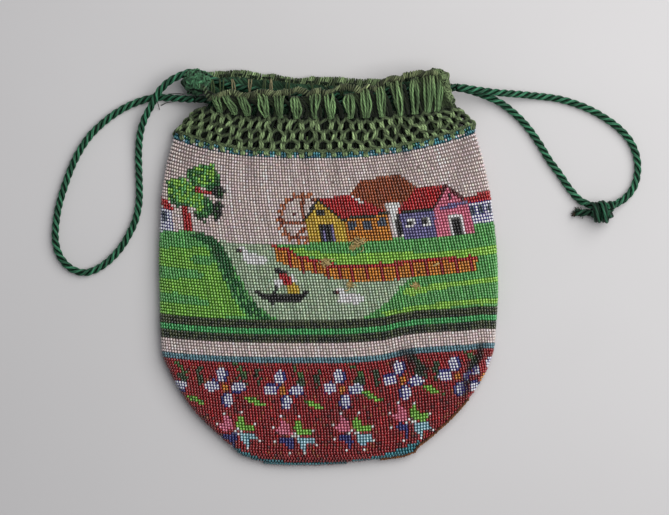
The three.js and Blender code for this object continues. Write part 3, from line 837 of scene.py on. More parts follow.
def bead_rows():
    """Middle, outward and sideways direction, row height, side of the bag and width of every bead."""
    found = []
    shares = np.linspace(0, 1, 2 * PLACES + 1)
    for i, y in enumerate(ROW_HEIGHTS):
        loop = closed(pouch.points[i])
        along = lengths_along(loop)
        total = along[-1]
        middle = np.interp(0, ACROSS[:PLACES], along[:PLACES])
        pitch = COLUMN_PITCH * (min(1, total / WIDEST_LENGTH) if y > WIDEST_ROW else 1)
        count = int(total / pitch)
        shift = COLUMN_LEAN * (FIRST_ROW - y)
        first = math.ceil((-total / 2 - shift) / pitch)
        place = (middle + shift + pitch * (first + np.arange(count))) % total
        front = place < along[PLACES]
        round_share = np.interp(place, along, shares)
        ahead_share = np.interp((place + SIDE_STEP) % total, along, shares)
        rise = front * row_rise(np.interp(place, along, loop[:, 0]), y)
        up_share = (i + rise / ROW_PITCH) / (ROW_COUNT - 1)
        points = pouch.at(round_share, up_share)
        side = unit(pouch.at(ahead_share, up_share) - points)
        outward = pouch.normal(round_share, up_share)
        widths = np.full(count, pitch / COLUMN_PITCH)
        found.append((points, outward, side, np.full(count, y), front, widths))
    found += foot_rings()
    return [np.concatenate(column) for column in zip(*found)]


def foot_rings():
    """Beads across the narrow end face below the lowest row."""
    lowest = pouch.points[0]
    middle = lowest.mean(axis=0)
    found = []
    for share in FOOT_RINGS:
        loop = middle + (lowest - middle) * [1, 1, share] - [0, FOOT_DROP * (1 - share), 0]
        count = int(loop_length(loop) / COLUMN_PITCH)
        points = closed_spaced(loop, count)
        front = points[:, 2] > middle[2]
        outward = np.tile([0.0, -1.0, 0.0], (count, 1))
        side = np.where(front, 1.0, -1.0)[:, None] * [1.0, 0.0, 0.0]
        found.append((points, outward, side, np.full(count, ROW_HEIGHTS[0]), front, np.ones(count)))
    return found


# The picture in beads. Chart places are in half millimetres, to the right and down, and the chart's
# middle lies over the middle of the bag.
CHART_MIDDLE = (328.4, 267.35)
CHART_UNIT = 0.5

# Stripes round the bag, by the height of their rows: colours, upper row and lower row.
STRIPES = [
    (("olive", "bottle", "olive"), -26.5, -31.0),
    (("stripe_green",), -31.0, -34.0),
    (("bottle", "olive"), -34.0, -37.7),
    (("pearl",), -37.7, -44.7),
    (("blue",), -44.7, -47.5),
]
TOP_EDGE = [  # rows above a height, and their colours
    (54.0, ("teal", "deep_teal", "teal", "pearl", "sky")),
    (55.6, ("deep_teal", "teal", "teal", "deep_green")),
]
BORDER_TOP = -47.5

HILL = [
    (140, 231), (180, 231), (202, 233), (214, 237.6), (221, 243), (229, 257), (237, 271.5), (247.6, 292),
    (257, 306), (274, 317), (290, 330), (140, 330),
]
HILL_EDGE = [(200, 236), (213, 241.5), (222, 256), (230, 272), (240, 292), (250, 307), (262, 317)]
HILL_EDGES = [  # line, width and colours of the darker grass along the hill's edge
    (HILL_EDGE, 17, ("mid_green", "mid_green", "deep_green")),
    (HILL_EDGE[2:], 11, ("deep_green", "deep_green", "mid_green")),
    (HILL_EDGE[:4], 11, ("deep_green",) * 4 + ("moss",)),
]
HILL_LIGHT = [
    (140, 247.5), (212, 247.5), (217, 253), (224, 265), (231, 278), (236, 290), (241, 302), (246, 312),
    (244, 317), (140, 317),
]
HILL_LENSES = [  # darker grass between the light bands
    [(188, 258), (196, 255), (213, 255.5), (217.5, 263), (206, 265.5), (194, 263)],
    [(140, 266), (176, 267), (196, 270.5), (206, 276), (196, 279), (176, 278.5), (140, 278)],
    [(140, 292), (176, 292.5), (196, 297), (214, 303), (202, 306), (176, 303), (140, 301)],
]
BANK = [
    (272, 243.5), (300, 243.8), (346, 242), (400, 238.5), (435, 236.5), (474, 232), (475, 223.5),
    (510, 221), (510, 330), (300, 330), (300, 270), (272, 258),
]
BANK_BANDS = [
    [(284, 248), (305, 249), (325, 253), (325, 262), (316, 258), (300, 256), (290, 250)],
    [
        (325, 253), (352, 255), (385, 252), (420, 252.5), (448, 250), (510, 244), (510, 252), (470, 256.5),
        (448, 259), (420, 263), (385, 266.5), (352, 266.5), (338, 264), (325, 260),
    ],
    [
        (404, 288), (420, 286), (450, 282), (510, 276), (510, 281), (460, 286), (430, 291), (412, 296),
        (402, 294),
    ],
    [
        (380, 313), (400, 309), (420, 305), (450, 301), (510, 297.5), (510, 303.5), (460, 306), (430, 310),
        (405, 314.5), (385, 316),
    ],
]
WATER = [
    (216, 238), (230, 243.5), (273, 244.5), (276, 258), (291, 266), (319, 273), (353, 280), (382, 280),
    (413, 276.5), (399, 287.6), (391, 298), (382, 306), (364, 317), (340, 326), (290, 326), (274, 317),
    (257, 306), (247.6, 292), (237, 271.5), (229, 257), (221, 243),
]
LAND = [
    ("mid_green", BANK),
    *(("light_green", band) for band in BANK_BANDS),
    ("water", WATER),
    ("mid_green", HILL),
    ("apple_green", HILL_LIGHT),
    *(("mid_green", lens) for lens in HILL_LENSES),
]
FENCE = [
    (274, 245.6), (290, 250), (299, 257), (316.5, 259.4), (329, 264), (353, 266), (382, 264.6), (410, 261),
    (440, 258.5), (477, 257.5), (477, 271), (440, 274.5), (410, 277.5), (382, 281), (353, 281.5),
    (330, 277.5), (319, 274), (291, 267.4), (276, 260.5),
]
FENCE_RAIL = [(x, y + 1) for x, y in FENCE[:10]]
FENCE_POSTS = [
    ((288, 250), (291, 267)), ((301, 257), (304, 271)), ((314, 259), (317, 274)), ((326, 262), (329, 277)),
    ((337, 264), (340, 280)), ((351, 266), (353, 281)), ((364.5, 265), (367, 281)),
    ((380, 264), (382.5, 281)), ((394.5, 262), (397, 279)), ((410, 260), (412.5, 277)),
    ((425, 259), (427.5, 276)), ((440.5, 258), (442.5, 274)), ((455.5, 257), (458, 273)),
    ((470, 257), (472, 271)),
]
FENCE_LINES = [("red", 3.4, FENCE_RAIL)] + [("deep_red", 2.6, post) for post in FENCE_POSTS]
WHEEL_CENTRE = (302, 218)
WHEEL_RADIUS = 21
WHEEL_HALF = 1.4  # half width of its rim
PADDLE_RADIUS = 24.2
PADDLE_HALF = 1.5
PADDLES = 19
WHEEL_HUB = (295.2, 214.2)
HUB_RADIUS = 1.8
SPOKE_WIDTH = 3
WHEEL_SPOKES = [
    ((302, 197), (304, 222)), ((281, 221.5), (304, 223)), ((291.5, 239.5), (305, 229)),
]

# Painted in this order, later over earlier: colour and corners, or colour, width and corners of lines.
HOUSES = [
    ("brown", [
        (350, 195), (359.6, 180.7), (387.5, 176.8), (397.5, 175), (404, 179.5), (415.5, 187.4),
        (408.5, 197), (400.5, 206), (385, 206), (385, 214),
    ]),
    ("orange", [(342.5, 218.6), (388, 213.5), (392.5, 240), (347, 243.5)]),
    ("yellow", [(318.8, 199.7), (342, 218), (348.5, 243), (309.5, 243), (306, 226), (303.8, 221)]),
    ("red", [(319, 199.3), (351, 195), (385.5, 212), (384, 214), (341, 219.5)]),
    ("slate", [(348, 222.5), (355.5, 222.5), (356, 231), (349, 231)]),
    ("slate", [(363, 220.5), (370.5, 220.5), (371, 229), (364, 229)]),
    ("slate", [(377.5, 217.5), (385.5, 217.5), (386, 226), (378.5, 226)]),
    ("black", [(317, 210.5), (324, 210.5), (324.5, 216), (317, 216)]),
    ("black", [(319, 224), (332, 224), (334.5, 243), (321.5, 243)]),
    ("lavender", [(323, 225), (325, 225), (327, 242), (325, 242)]),
    ("lavender", [(330, 225), (332.5, 225), (335, 242), (332, 242)]),
    ("red", [(399.8, 207.5), (415.4, 188), (445, 185.7), (432, 208.6), (397.5, 214)]),
    ("lavender", [(399, 213.5), (433, 209), (437, 236), (403, 239)]),
    ("white", [(405, 219.5), (414, 219), (415, 227.5), (406, 228)]),
    ("black", [(406.5, 221.5), (411.5, 221), (412.5, 226), (407.5, 226.5)]),
    ("white", [(420, 217.5), (429, 217), (430, 226), (421, 226.5)]),
    ("black", [(421.5, 219.5), (426.5, 219), (427.5, 224.5), (422.5, 225)]),
    ("pink", [(446, 186.8), (464.5, 203), (467, 205), (475, 232.5), (437, 238), (433, 208)]),
    ("lavender", [(438, 206.5), (466, 201.5), (467, 205), (438.5, 210)]),
    ("black", [(446.5, 194), (449.5, 194), (450.5, 200.5), (447.5, 200.5)]),
    ("white", [(447, 215.5), (461, 214.5), (465, 233.5), (451, 236.5)]),
    ("black", [(450, 219), (459, 218), (462, 234), (453.5, 236.5)]),
    ("red", [(463, 198), (491, 190), (500, 189), (500, 198), (470, 203.5)]),
    ("ice", [(468, 204), (500, 198), (500, 222.5), (474, 224)]),
    ("slate", [(470, 206), (474, 206), (475.5, 215), (471.5, 215)]),
    ("slate", [(478, 204.5), (482.5, 204.5), (483.5, 213), (479.5, 213)]),
    ("slate", [(487, 203.5), (491.5, 203.5), (492.5, 211), (488, 211)]),
    ("white", [(384, 203.3), (400, 203.3), (396.5, 212), (390.5, 212), (389, 208), (384, 207)]),
    ("white", [(390.5, 211), (395, 211), (397, 236), (393, 236)]),
    ("black", [(395, 213), (399, 214), (402, 236), (397, 236)]),
]
HOUSE_LINES = [
    ("black", 2.6, [(303.5, 221), (318.5, 200.5)]),
    ("black", 2.4, [(319, 201), (341, 219)]),
    ("bottle", 2.6, [(341.5, 219.8), (387, 213.6)]),
    ("bottle", 2.6, [(398, 214), (432.5, 209.4)]),
    ("wine", 2.6, [(446.5, 187), (463, 199)]),
    ("wine", 2.6, [(445, 186), (433.5, 208)]),
]
COTTAGE = [
    ("ice", [(150, 208), (172, 209), (173.5, 231.5), (150, 231.5)]),
    ("slate", [(161, 211), (166, 211), (166.5, 220), (162, 220)]),
    ("red", [(150, 192), (163, 198), (173.5, 208), (172, 211), (165, 208), (150, 200)]),
]
TREE = [
    ("light_green", [
        (188, 172), (193, 168), (199, 165), (214, 165), (217, 172), (220, 178), (216, 184), (205, 187),
        (195, 184), (189, 180),
    ]),
    ("deep_green", [(188, 170), (192, 168), (194, 180), (203, 187), (193, 186), (188, 178)]),
    ("deep_green", [(214, 174), (221, 178), (222, 190), (214, 196), (206, 190), (205, 185), (214, 183)]),
    ("black", [(217, 184), (223, 188), (225.5, 192), (223, 200), (217, 199), (212, 192)]),
    ("light_green", [
        (166, 182), (172, 178), (183, 178), (190, 183), (197, 188), (203, 196), (210, 200), (208, 212),
        (202, 215), (196, 209), (188, 206), (175, 205), (168, 198),
    ]),
    ("deep_green", [(168, 199), (176, 203), (188, 204), (186, 207), (176, 207)]),
    ("deep_green", [(205, 197), (213, 200), (214, 210), (208, 219), (200, 218), (192, 212), (203, 213)]),
    ("black", [(192, 213), (203, 219), (210, 221), (206, 223), (198, 220)]),
    ("black", [(214, 203), (219, 202), (224, 207), (222, 215), (219, 221), (214, 221), (212, 213)]),
    ("red", [(181, 205), (188, 206), (193, 231.5), (184.5, 232)]),
]
TREE_LINES = [("red", 4, [(196, 188.5), (202, 193), (211.5, 193.5)])]
CROWN_MIDDLE = (195, 193)
CROWN_REACH = (36, 32)
CROWN_LEAVES = {  # what the beads of the crown are mixed from, by their colour
    "light_green": ("light_green",) * 3 + ("mid_green", "deep_green"),
    "deep_green": ("deep_green",) * 3 + ("moss", "mid_green"),
    "black": ("black", "bottle", "moss"),
}
BOATING = [
    ("white", [(242, 258.5), (247, 254), (256, 254), (262, 255), (269, 259.5), (264, 265), (251, 265)]),
    ("white", [
        (240, 246.5), (245, 246.5), (248.5, 251.5), (251, 257.5), (244.5, 259), (244, 253), (239.5, 252.5),
    ]),
    ("wine", [(239.5, 248.6), (242.6, 248.6), (242.6, 251.6), (239.5, 251.6)]),
    ("black", [(236.5, 248.6), (239.4, 248.6), (239.4, 251.6), (236.5, 251.6)]),
    ("white", [(338, 296), (343, 293), (352, 294), (365, 295), (363, 301), (357, 303.5), (339, 303.5)]),
    ("white", [(336, 288), (342.5, 288), (346, 293), (346.5, 297), (339, 297), (340, 293.5), (336, 293)]),
    ("wine", [(336, 291), (339, 291), (339, 294.4), (336, 294.4)]),
    ("black", [(331.5, 290), (336, 289.5), (336, 293.5), (331.5, 293.5)]),
    ("black", [
        (251.5, 287), (258, 290.5), (266, 294), (285, 294.5), (300, 293.5), (305, 290.5), (311, 290),
        (306.5, 297), (300, 302), (270, 302), (262, 298.5), (256, 293.5),
    ]),
    ("black", [(274.5, 268), (281, 268.5), (286, 272), (282.5, 275.5), (274, 274)]),
    ("red", [(278, 274.5), (286, 274), (294.5, 282), (290.5, 286), (283, 285)]),
    ("white", [(273.5, 281), (281, 278), (282.5, 284), (278, 287.5), (273.5, 286)]),
    ("white", [(290, 275), (294, 274), (297, 281), (293.5, 283)]),
    ("yellow", [(287, 285), (295, 283), (300.5, 291), (297, 294), (287.5, 293.5)]),
]
BOATING_LINES = [("black", 2.6, [(277, 286.5), (272, 304)])]

# The border: four-petalled flowers and four-pointed stars, with leaves between them.
FLOWERS = [  # middle, and how far the light leaf is lifted
    (165.5, 386, 0), (224.5, 387, 0), (283, 390, 0), (342, 389, 6.5), (402, 380.6, 4.5), (457, 376.4, 3),
]
PETALS = [  # middle, half sizes, and where its dark side lies
    ((-3.8, -13), (4.7, 7.2), (2.4, 0.6)),
    ((-12.4, -0.7), (7.2, 5.0), (0.6, -1.9)),
    ((14.2, -0.6), (7.4, 5.0), (-0.8, 1.9)),
    ((4.2, 12.4), (4.7, 7.2), (-2.4, -0.4)),
]
FLOWER_EYE = (3.2, 4.4)
LIGHT_LEAF = [(18, 9), (26.5, 9), (33.5, 12.5), (42, 18), (33.5, 18), (25.5, 15.5)]
LIGHT_LEAF_COLOURS = ("apple_green",) * 5 + ("leaf_green",)
LEAVES = [
    ("leaf_green", [(7, -25), (13.5, -25), (24, -12), (18, -10.5)]),
    ("dark_leaf", [(12, -12), (20, -13.5), (25, -3), (19, -3), (12, -8)]),
    ("dark_leaf", [(30.8, -18), (37, -21.5), (37.4, -4), (33.5, 0.6), (30.8, -8)]),
]
STARS = [(236.3, 431), (294, 435), (352.8, 431.8), (410, 420.6)]
STAR_POINTS = [
    ("pink", [(-11.8, -16.5), (-4, -10.5), (-1.6, -0.6), (-13, 0.2), (-20, -5.6), (-14, -7.8)]),
    ("apple_green", [
        (4, -16.5), (7, -12.3), (8.8, -6.7), (18.8, -6.6), (16.6, 0.2), (4.6, 0.2), (-0.4, -6.7),
        (1, -13.4),
    ]),
    ("sky", [(4.2, 1.8), (18.6, 1.8), (21.2, 8.9), (13, 9.7), (11.2, 17.4), (7, 13.4), (4.2, 8.9)]),
    ("navy", [(-17, 5.8), (-12.3, 2.8), (-0.8, 2.8), (-0.2, 10), (-3.2, 17.4), (-6, 11.4), (-14, 7.8)]),
]
STAR_TIPS = [
    (-11.8, -18.4), (-20.9, -6.5), (4.8, -17.6), (19.7, -5.8), (22.3, 8.9), (11.5, 18.6), (-18, 7),
    (-5, 19), (0, -1.7), (-2.6, 0.9), (0.9, 2.5), (3.9, 0.5),
]
FIELD_COLOURS = ("deep_red",) * 20 + ("brown", "red", "wine")
BEYOND_CREASE = [(480.5, 350), (476, 362), (470, 377), (462.5, 398), (480, 405), (500, 380), (500, 345)]
SIDE_OVALS = [
    ("navy", (473.6, 368.2), (5.0, 4.4)),
    ("ice", (475.8, 370.4), (4.8, 4.2)),
    ("navy", (475.6, 384.2), (5.4, 4.2)),
    ("ice", (474.4, 387.0), (5.4, 4.4)),
    ("orange", (484.0, 378.5), (2.8, 4.6)),
    ("ice", (490.0, 362.0), (3.4, 5.4)),
]
BOTTOM_EDGE = [  # the teal edge along the foot of the front
    (234, 448.5), (246, 453.4), (262, 459.6), (290, 463), (345, 462.8), (366, 459.4), (385, 455),
    (402, 448.8), (419, 441.8), (440, 450), (400, 475), (300, 485), (215, 475),
]
BACK_MEADOW = [
    ("mid_green", [
        (100, 236), (190, 232), (240, 240), (300, 236), (360, 242), (430, 236), (560, 240), (560, 330),
        (100, 330),
    ]),
    ("light_green", [
        (100, 250), (200, 246), (300, 252), (400, 248), (560, 252), (560, 260), (400, 256), (300, 261),
        (100, 257),
    ]),
    ("light_green", [
        (100, 282), (220, 276), (340, 284), (460, 278), (560, 284), (560, 293), (400, 288), (260, 291),
        (100, 290),
    ]),
    ("light_green", [(100, 306), (260, 303), (420, 308), (560, 303), (560, 312), (300, 314), (100, 312)]),
]
BACK_TREES = [(0, 0), (150, 6), (238, -2)]  # how far the tree of the front is moved for each


def inside(places, corners):
    x, y = places[:, 0], places[:, 1]
    found = np.zeros(len(x), bool)
    for (x0, y0), (x1, y1) in zip(corners, corners[1:] + corners[:1]):
        if y0 == y1:
            continue
        crosses = (y0 > y) != (y1 > y)
        found ^= crosses & (x < x0 + (y - y0) * (x1 - x0) / (y1 - y0))
    return found


def line_distance(places, corners):
    nearest = np.full(len(places), np.inf)
    for start, end in zip(corners, corners[1:]):
        start, end = np.array(start, float), np.array(end, float)
        way = end - start
        share = np.clip((places - start) @ way / (way @ way), 0, 1)[:, None]
        nearest = np.minimum(nearest, np.linalg.norm(places - start - share * way, axis=1))
    return nearest


def near_line(places, corners, width):
    return line_distance(places, corners) <= width / 2


def in_oval(places, centre, radii):
    return np.sum(((places - centre) / radii) ** 2, axis=1) <= 1


def chart_places(points):
    return CHART_MIDDLE + points[:, :2] * [1, -1] / CHART_UNIT


class Chart:
    """Colours of beads at places of the chart, painted one shape over another."""

    def __init__(self, points, rows):
        self.places = chart_places(points)
        self.rows = rows
        self.border = rows <= BORDER_TOP
        self.names = np.full(len(points), "pearl", dtype="<U12")

    def some(self, chosen, colours):
        """Gives the chosen beads one of these colours each, by chance."""
        self.names[chosen] = rng.choice(colours, int(chosen.sum()))

    def paint_shapes(self, shapes, lines=()):
        for colour, corners in shapes:
            self.names[inside(self.places, corners)] = colour
        for colour, width, corners in lines:
            self.names[near_line(self.places, corners, width)] = colour

    def paint_hill_edges(self):
        hill = inside(self.places, HILL)
        for corners, width, colours in HILL_EDGES:
            self.some(hill & near_line(self.places, corners, width), colours)

    def paint_wheel(self):
        here = self.places - WHEEL_CENTRE
        away = np.linalg.norm(here, axis=1)
        turn = np.arctan2(here[:, 1], here[:, 0])
        self.some(np.abs(away - WHEEL_RADIUS) < WHEEL_HALF, ("brown", "tan", "wine"))
        self.names[(np.abs(away - PADDLE_RADIUS) < PADDLE_HALF) & (np.sin(PADDLES * turn) > 0)] = "tan"
        self.paint_shapes([], [("brown", SPOKE_WIDTH, spoke) for spoke in WHEEL_SPOKES])
        self.names[in_oval(self.places, WHEEL_HUB, HUB_RADIUS)] = "wine"

    def paint_leaves(self):
        """Darker leaves here and there in the tree's light parts, and lighter ones in its dark parts."""
        crown = in_oval(self.places, CROWN_MIDDLE, CROWN_REACH)
        for colour, mixture in CROWN_LEAVES.items():
            self.some(crown & (self.names == colour), mixture)

    def paint_stripes(self):
        for colours, upper, lower in STRIPES:
            self.some((self.rows <= upper) & (self.rows > lower), colours)
        for height, colours in TOP_EDGE:
            self.some(self.rows > height, colours)

    def paint_border(self):
        self.some(self.border, FIELD_COLOURS)
        for x, y, lift in FLOWERS:
            self._paint_flower(self.places - [x, y], lift)
        for star in STARS:
            self._paint_star(self.places - star)

    def paint_side(self):
        """The part of the border that a crease brings forward from round the right edge."""
        beyond = self.border & inside(self.places, BEYOND_CREASE)
        self.some(beyond, FIELD_COLOURS)
        for colour, middle, radii in SIDE_OVALS:
            self.names[beyond & in_oval(self.places, middle, radii)] = colour

    def _paint_flower(self, here, lift):
        self.some(self.border & inside(here + [0, lift], LIGHT_LEAF), LIGHT_LEAF_COLOURS)
        for colour, corners in LEAVES:
            self.some(self.border & inside(here, corners), (colour,) * 6 + ("deep_red",))
        for middle, radii, shade in PETALS:
            self.names[self.border & in_oval(here, np.add(middle, shade), radii)] = "navy"
            self.names[self.border & in_oval(here, middle, radii)] = "ice"
        self.names[self.border & in_oval(here, (0, 0), FLOWER_EYE)] = "orange"

    def _paint_star(self, here):
        for colour, corners in STAR_POINTS:
            self.names[self.border & inside(here, corners)] = colour
        for tip in STAR_TIPS:
            nearest = np.argmin(np.sum((here - tip) ** 2, axis=1))
            if self.border[nearest]:
                self.names[nearest] = "white"


def picture_names(points, rows, front):
    """Name of the colour of every bead."""
    chart = Chart(points[front], rows[front])
    chart.paint_shapes(LAND)
    chart.paint_hill_edges()
    chart.paint_shapes([("orange", FENCE)], FENCE_LINES)
    chart.paint_wheel()
    chart.paint_shapes(HOUSES, HOUSE_LINES)
    chart.paint_shapes(COTTAGE + TREE, TREE_LINES)
    chart.paint_leaves()
    chart.paint_shapes(BOATING, BOATING_LINES)
    chart.paint_stripes()
    chart.paint_border()
    chart.paint_side()
    chart.paint_shapes([("teal", BOTTOM_EDGE)])
    back = Chart(points[~front], rows[~front])
    back.paint_shapes(BACK_MEADOW)
    for move in BACK_TREES:
        back.paint_shapes([(colour, np.add(corners, move).tolist()) for colour, corners in TREE])
    back.paint_stripes()
    back.paint_border()
    names = np.empty(len(points), dtype="<U12")
    names[front] = chart.names
    names[~front] = back.names
    return names


# Places where beads are lost, in chart places, with the reach of each.
LOST_BEADS = [
    ((357, 244), 4.2), ((352, 248), 3.0), ((325.5, 262), 4.4), ((349.5, 284.5), 3.0), ((415, 285.5), 3.4),
]
EDGE_PAINTED_SHADE = 0.6  # painted shade: how much darker the turned edge is at the lower left
LOWER_LEFT = np.array([-0.6, -0.8, 0])
SHADED_FACING = (0.3, 0.8)  # how far beads face there, from no painted shade to the full painted shade
FOLD_PAINTED_SHADE = 0.3  # painted shade: how much darker the beads are in the deepest folds and creases
CREASE_PAINTED_SHADE = 0.45
FULL_SHADE_DEPTH = 1.6  # of a fold, where its painted shade is full
SHADE_POWER = 1.5
BRIGHTNESS_SPREAD = 0.09
HUE_SPREAD = 0.035
TINT_LIMITS = (0.002, 0.95)
STREAKS = [  # light and dark runs up the columns: strength, and waves across and down the chart
    (0.1, 0.83, 0.021), (0.1, 0.31, -0.05), (0.06, 1.7, 0.11),
]
SHADED_CREASE_LINES = [  # painted shade along creases: lines in chart places, with their half width and darkness
    ([(480.5, 345), (480.5, 357), (472, 364), (468, 372), (465, 382), (465, 394)], 4.2, 0.9),
    ([(403, 352), (411, 357), (417, 364), (424, 369)], 5.6, 0.95),
]
PATCHES = [  # soft patches of the front, most of them painted shade of soft creases and one painted light on a ridge, the others just lighter or darker: middle and reach in chart places, and brightness
    ((340, 412), (11, 13), 0.72), ((326, 428), (8, 18), 0.76), ((354, 392), (9, 12), 0.78),
    ((238, 264), (9, 16), 1.12), ((445, 402), (24, 10), 0.8), ((440, 300), (60, 24), 0.84),
    ((300, 459), (70, 8), 0.84), ((441, 160), (9, 14), 1.16), ((250, 182), (26, 26), 1.12),
    ((376, 160), (7, 16), 0.86),
]
STRAY_PALE = ((360, 197), 9, 0.25)  # pale stray beads on a roof: middle, reach, share of beads
PALETTE = {name: linear(colour) for name, colour in BEAD_COLOURS.items()}


def edge_tint(name):
    if name in EDGE_COLOURS:
        return PALETTE[EDGE_COLOURS[name]]
    return (DEEP_EDGE_SHADE if name in DEEP_EDGED else EDGE_SHADE) * PALETTE[name] ** EDGE_POWER


EDGE_PALETTE = {name: edge_tint(name) for name in PALETTE}


def bead_shape(sides):
    """Points and triangles of a low faceted bead of radius 1, closed above and below."""
    rings = []
    for k, (radius, height) in enumerate(BEAD_RINGS):
        turn = TURN * (np.arange(sides) + k / 2) / sides
        x, y = radius * np.cos(turn), radius * np.sin(turn)
        rings.append(np.stack([x, y, np.full(sides, height)], axis=1))
    points = np.vstack([[(0, 0, 1)], *rings, [(0, 0, BEAD_FOOT)]])
    triangles = []
    for j in range(sides):
        k = (j + 1) % sides
        a, b = 1 + j, 1 + k
        c, d = a + sides, b + sides
        triangles += [(0, a, b), (a, c, b), (b, c, d), (2 * sides + 1, d, c)]
    return points, np.array(triangles)


def bead_piece(name, centres, outward, side, sizes, colours, sides):
    """colours are the tints of middles and edges, the edges' share up the columns and their power."""
    count = len(centres)
    shape, triangles = bead_shape(sides)
    reach = np.repeat(EDGE_REACH, (1, sides, sides, 1))
    beside, along = reach * (unit(shape[:, :2] + 1e-6) ** 2).T
    middles, edges, column_share, edge_power = colours
    share = ((beside + along * column_share[:, None]) ** edge_power[:, None])[..., None]
    # the edges take the edge colour: painted shade, or for a few beads another colour
    tints = blend(middles[:, None], edges[:, None], share)
    up = np.cross(outward, side)
    spin = rng.uniform(-BEAD_SPIN, BEAD_SPIN, count)[:, None]
    tilt = rng.normal(0, BEAD_TILT, (count, 2))
    out = unit(outward + side * tilt[:, :1] + up * tilt[:, 1:])
    side = unit(side * np.cos(spin) + up * np.sin(spin))
    side = unit(side - out * np.sum(side * out, axis=1, keepdims=True))
    half = BEAD_HALF * sizes * rng.normal(1, BEAD_SPREAD, (count, 3))
    axes = np.stack([side, np.cross(out, side), out], axis=1)
    points = centres[:, None] + (shape * half[:, None]) @ axes
    index = triangles + len(shape) * np.arange(count)[:, None, None]
    columns = math.ceil(math.sqrt(count))
    cell = np.stack([np.arange(count) % columns, np.arange(count) // columns], axis=1)
    places = (cell[:, None, None] + 0.5 + BEAD_CELL * shape[triangles, :2]) / columns
    maps = {BAKE_MAP: places.reshape(-1, 3, 2)}
    return add_mesh(name, points.reshape(-1, 3), index.reshape(-1, 3), BEADS, tints.reshape(-1, 3), maps)


def lost(places):
    return np.any([in_oval(places, centre, reach) for centre, reach in LOST_BEADS], axis=0)


def streaks(places):
    """Soft light and dark runs of beads up the columns."""
    x, y = places.T
    column = x - COLUMN_LEAN * y
    return 1 + sum(strength * np.sin(across * column + down * y) for strength, across, down in STREAKS)


def patch_shades(points, places):
    """Brightness of the front's beads: painted shade in folds and creases and along crease lines, and the
    patches of painted shade and light.
    """
    x, y = points[:, 0], points[:, 1]
    folded = np.clip(fold_depth(x, y) / FULL_SHADE_DEPTH, 0, 1) ** SHADE_POWER
    creased = np.clip(crease_depth(x, y), 0, 1) ** SHADE_POWER
    shades = (1 - FOLD_PAINTED_SHADE * folded) * (1 - CREASE_PAINTED_SHADE * creased)
    for corners, half, darkness in SHADED_CREASE_LINES:
        shades *= 1 - darkness * np.exp(-((line_distance(places, corners) / half) ** 2))
    for middle, reach, brightness in PATCHES:
        nearness = np.exp(-np.sum(((places - middle) / reach) ** 2, axis=1))
        shades *= blend(1, brightness, nearness)
    return shades


def bead_tints(points, outward, front, places, names):
    """Colours of the beads, each a little different, with painted shade and light on the front and on the
    turned edge.
    """
    count = len(points)
    vary = rng.normal(1, BRIGHTNESS_SPREAD, (count, 1)) * rng.normal(1, HUE_SPREAD, (count, 3))
    vary *= streaks(places)[:, None]
    vary[front] *= patch_shades(points[front], places[front])[:, None]
    # painted shade on the beads that face away to the lower left
    vary *= 1 - EDGE_PAINTED_SHADE * smoothstep(*SHADED_FACING, outward @ LOWER_LEFT)[:, None]
    return np.clip(np.array([PALETTE[name] for name in names]) * vary, *TINT_LIMITS)


def add_beads():
    """All the beads, in four pieces."""
    points, outward, side, rows, front, widths = bead_rows()
    count = len(points)
    places = chart_places(points)
    names = picture_names(points, rows, front)
    stray_centre, stray_reach, stray_share = STRAY_PALE
    stray = front & in_oval(places, stray_centre, stray_reach) & (names == "red")
    names[stray & (rng.random(count) < stray_share)] = "white"
    tints = bead_tints(points, outward, front, places, names)
    edge_tints = np.array([EDGE_PALETTE[name] for name in names])
    column_share = np.where(np.isin(names, HALF_DOTTED), HALF_SHARE, STREAK_SHARE)
    column_share[np.isin(names, DOTTED)] = 1
    other_edged = np.isin(names, list(EDGE_COLOURS))
    edge_power = np.where(other_edged, OTHER_EDGE_POWER, 1)
    lengths = np.where(column_share == STREAK_SHARE, STREAK_LENGTH, 1)
    sizes = np.stack([widths, lengths, np.ones(count)], axis=1)
    sizes[other_edged, :2] *= OTHER_EDGE_SIZE
    centres = points - BEAD_DEPTH * outward + rng.normal(0, BEAD_SPREAD, points.shape)
    kept = ~(front & lost(places)) & (rng.random(count) > MISSING_SHARE)
    pieces = []
    for face, on_face, sides in (("front", front, FRONT_BEAD_SIDES), ("back", ~front, BACK_BEAD_SIDES)):
        for part, on_part in (("upper", rows > SPLIT_ROW), ("lower", rows <= SPLIT_ROW)):
            chosen = kept & on_face & on_part
            colours = [each[chosen] for each in (tints, edge_tints, column_share, edge_power)]
            frames = [each[chosen] for each in (centres, outward, side, sizes)]
            piece = bead_piece(f"beads_{face}_{part}", *frames, colours, sides)
            pieces.append(finish_piece(piece, "bead_knit"))
    return pieces


bead_pieces = add_beads()

# Knitted ground under the beads

GROUND_DEPTH = 0.95  # of the ground's outer face below the pouch's surface
GROUND_THICKNESS = 0.6
GROUND_FOOT = -98.6  # its lowest row
GROUND_ROWS = 109
GROUND_INNER_ROWS = 14
GROUND_COLUMNS = 280
GROUND_SHADE = 0.6  # how much of the beads' edge colour the ground between them takes on, as painted shade in the gaps
INNER_TINT = linear((104, 84, 66))
BARE_TINT = linear((176, 150, 92))  # where beads are lost


def ground_grid(count, depth):
    """Row heights from the lowest up, and their points below the pouch's outer surface."""
    heights = np.linspace(GROUND_FOOT, POUCH_TOP, count)
    wall = Wall([closed_spaced(section_line(pouch_row(y)), GROUND_COLUMNS) for y in heights])
    return heights, wall.points - depth * wall.normals


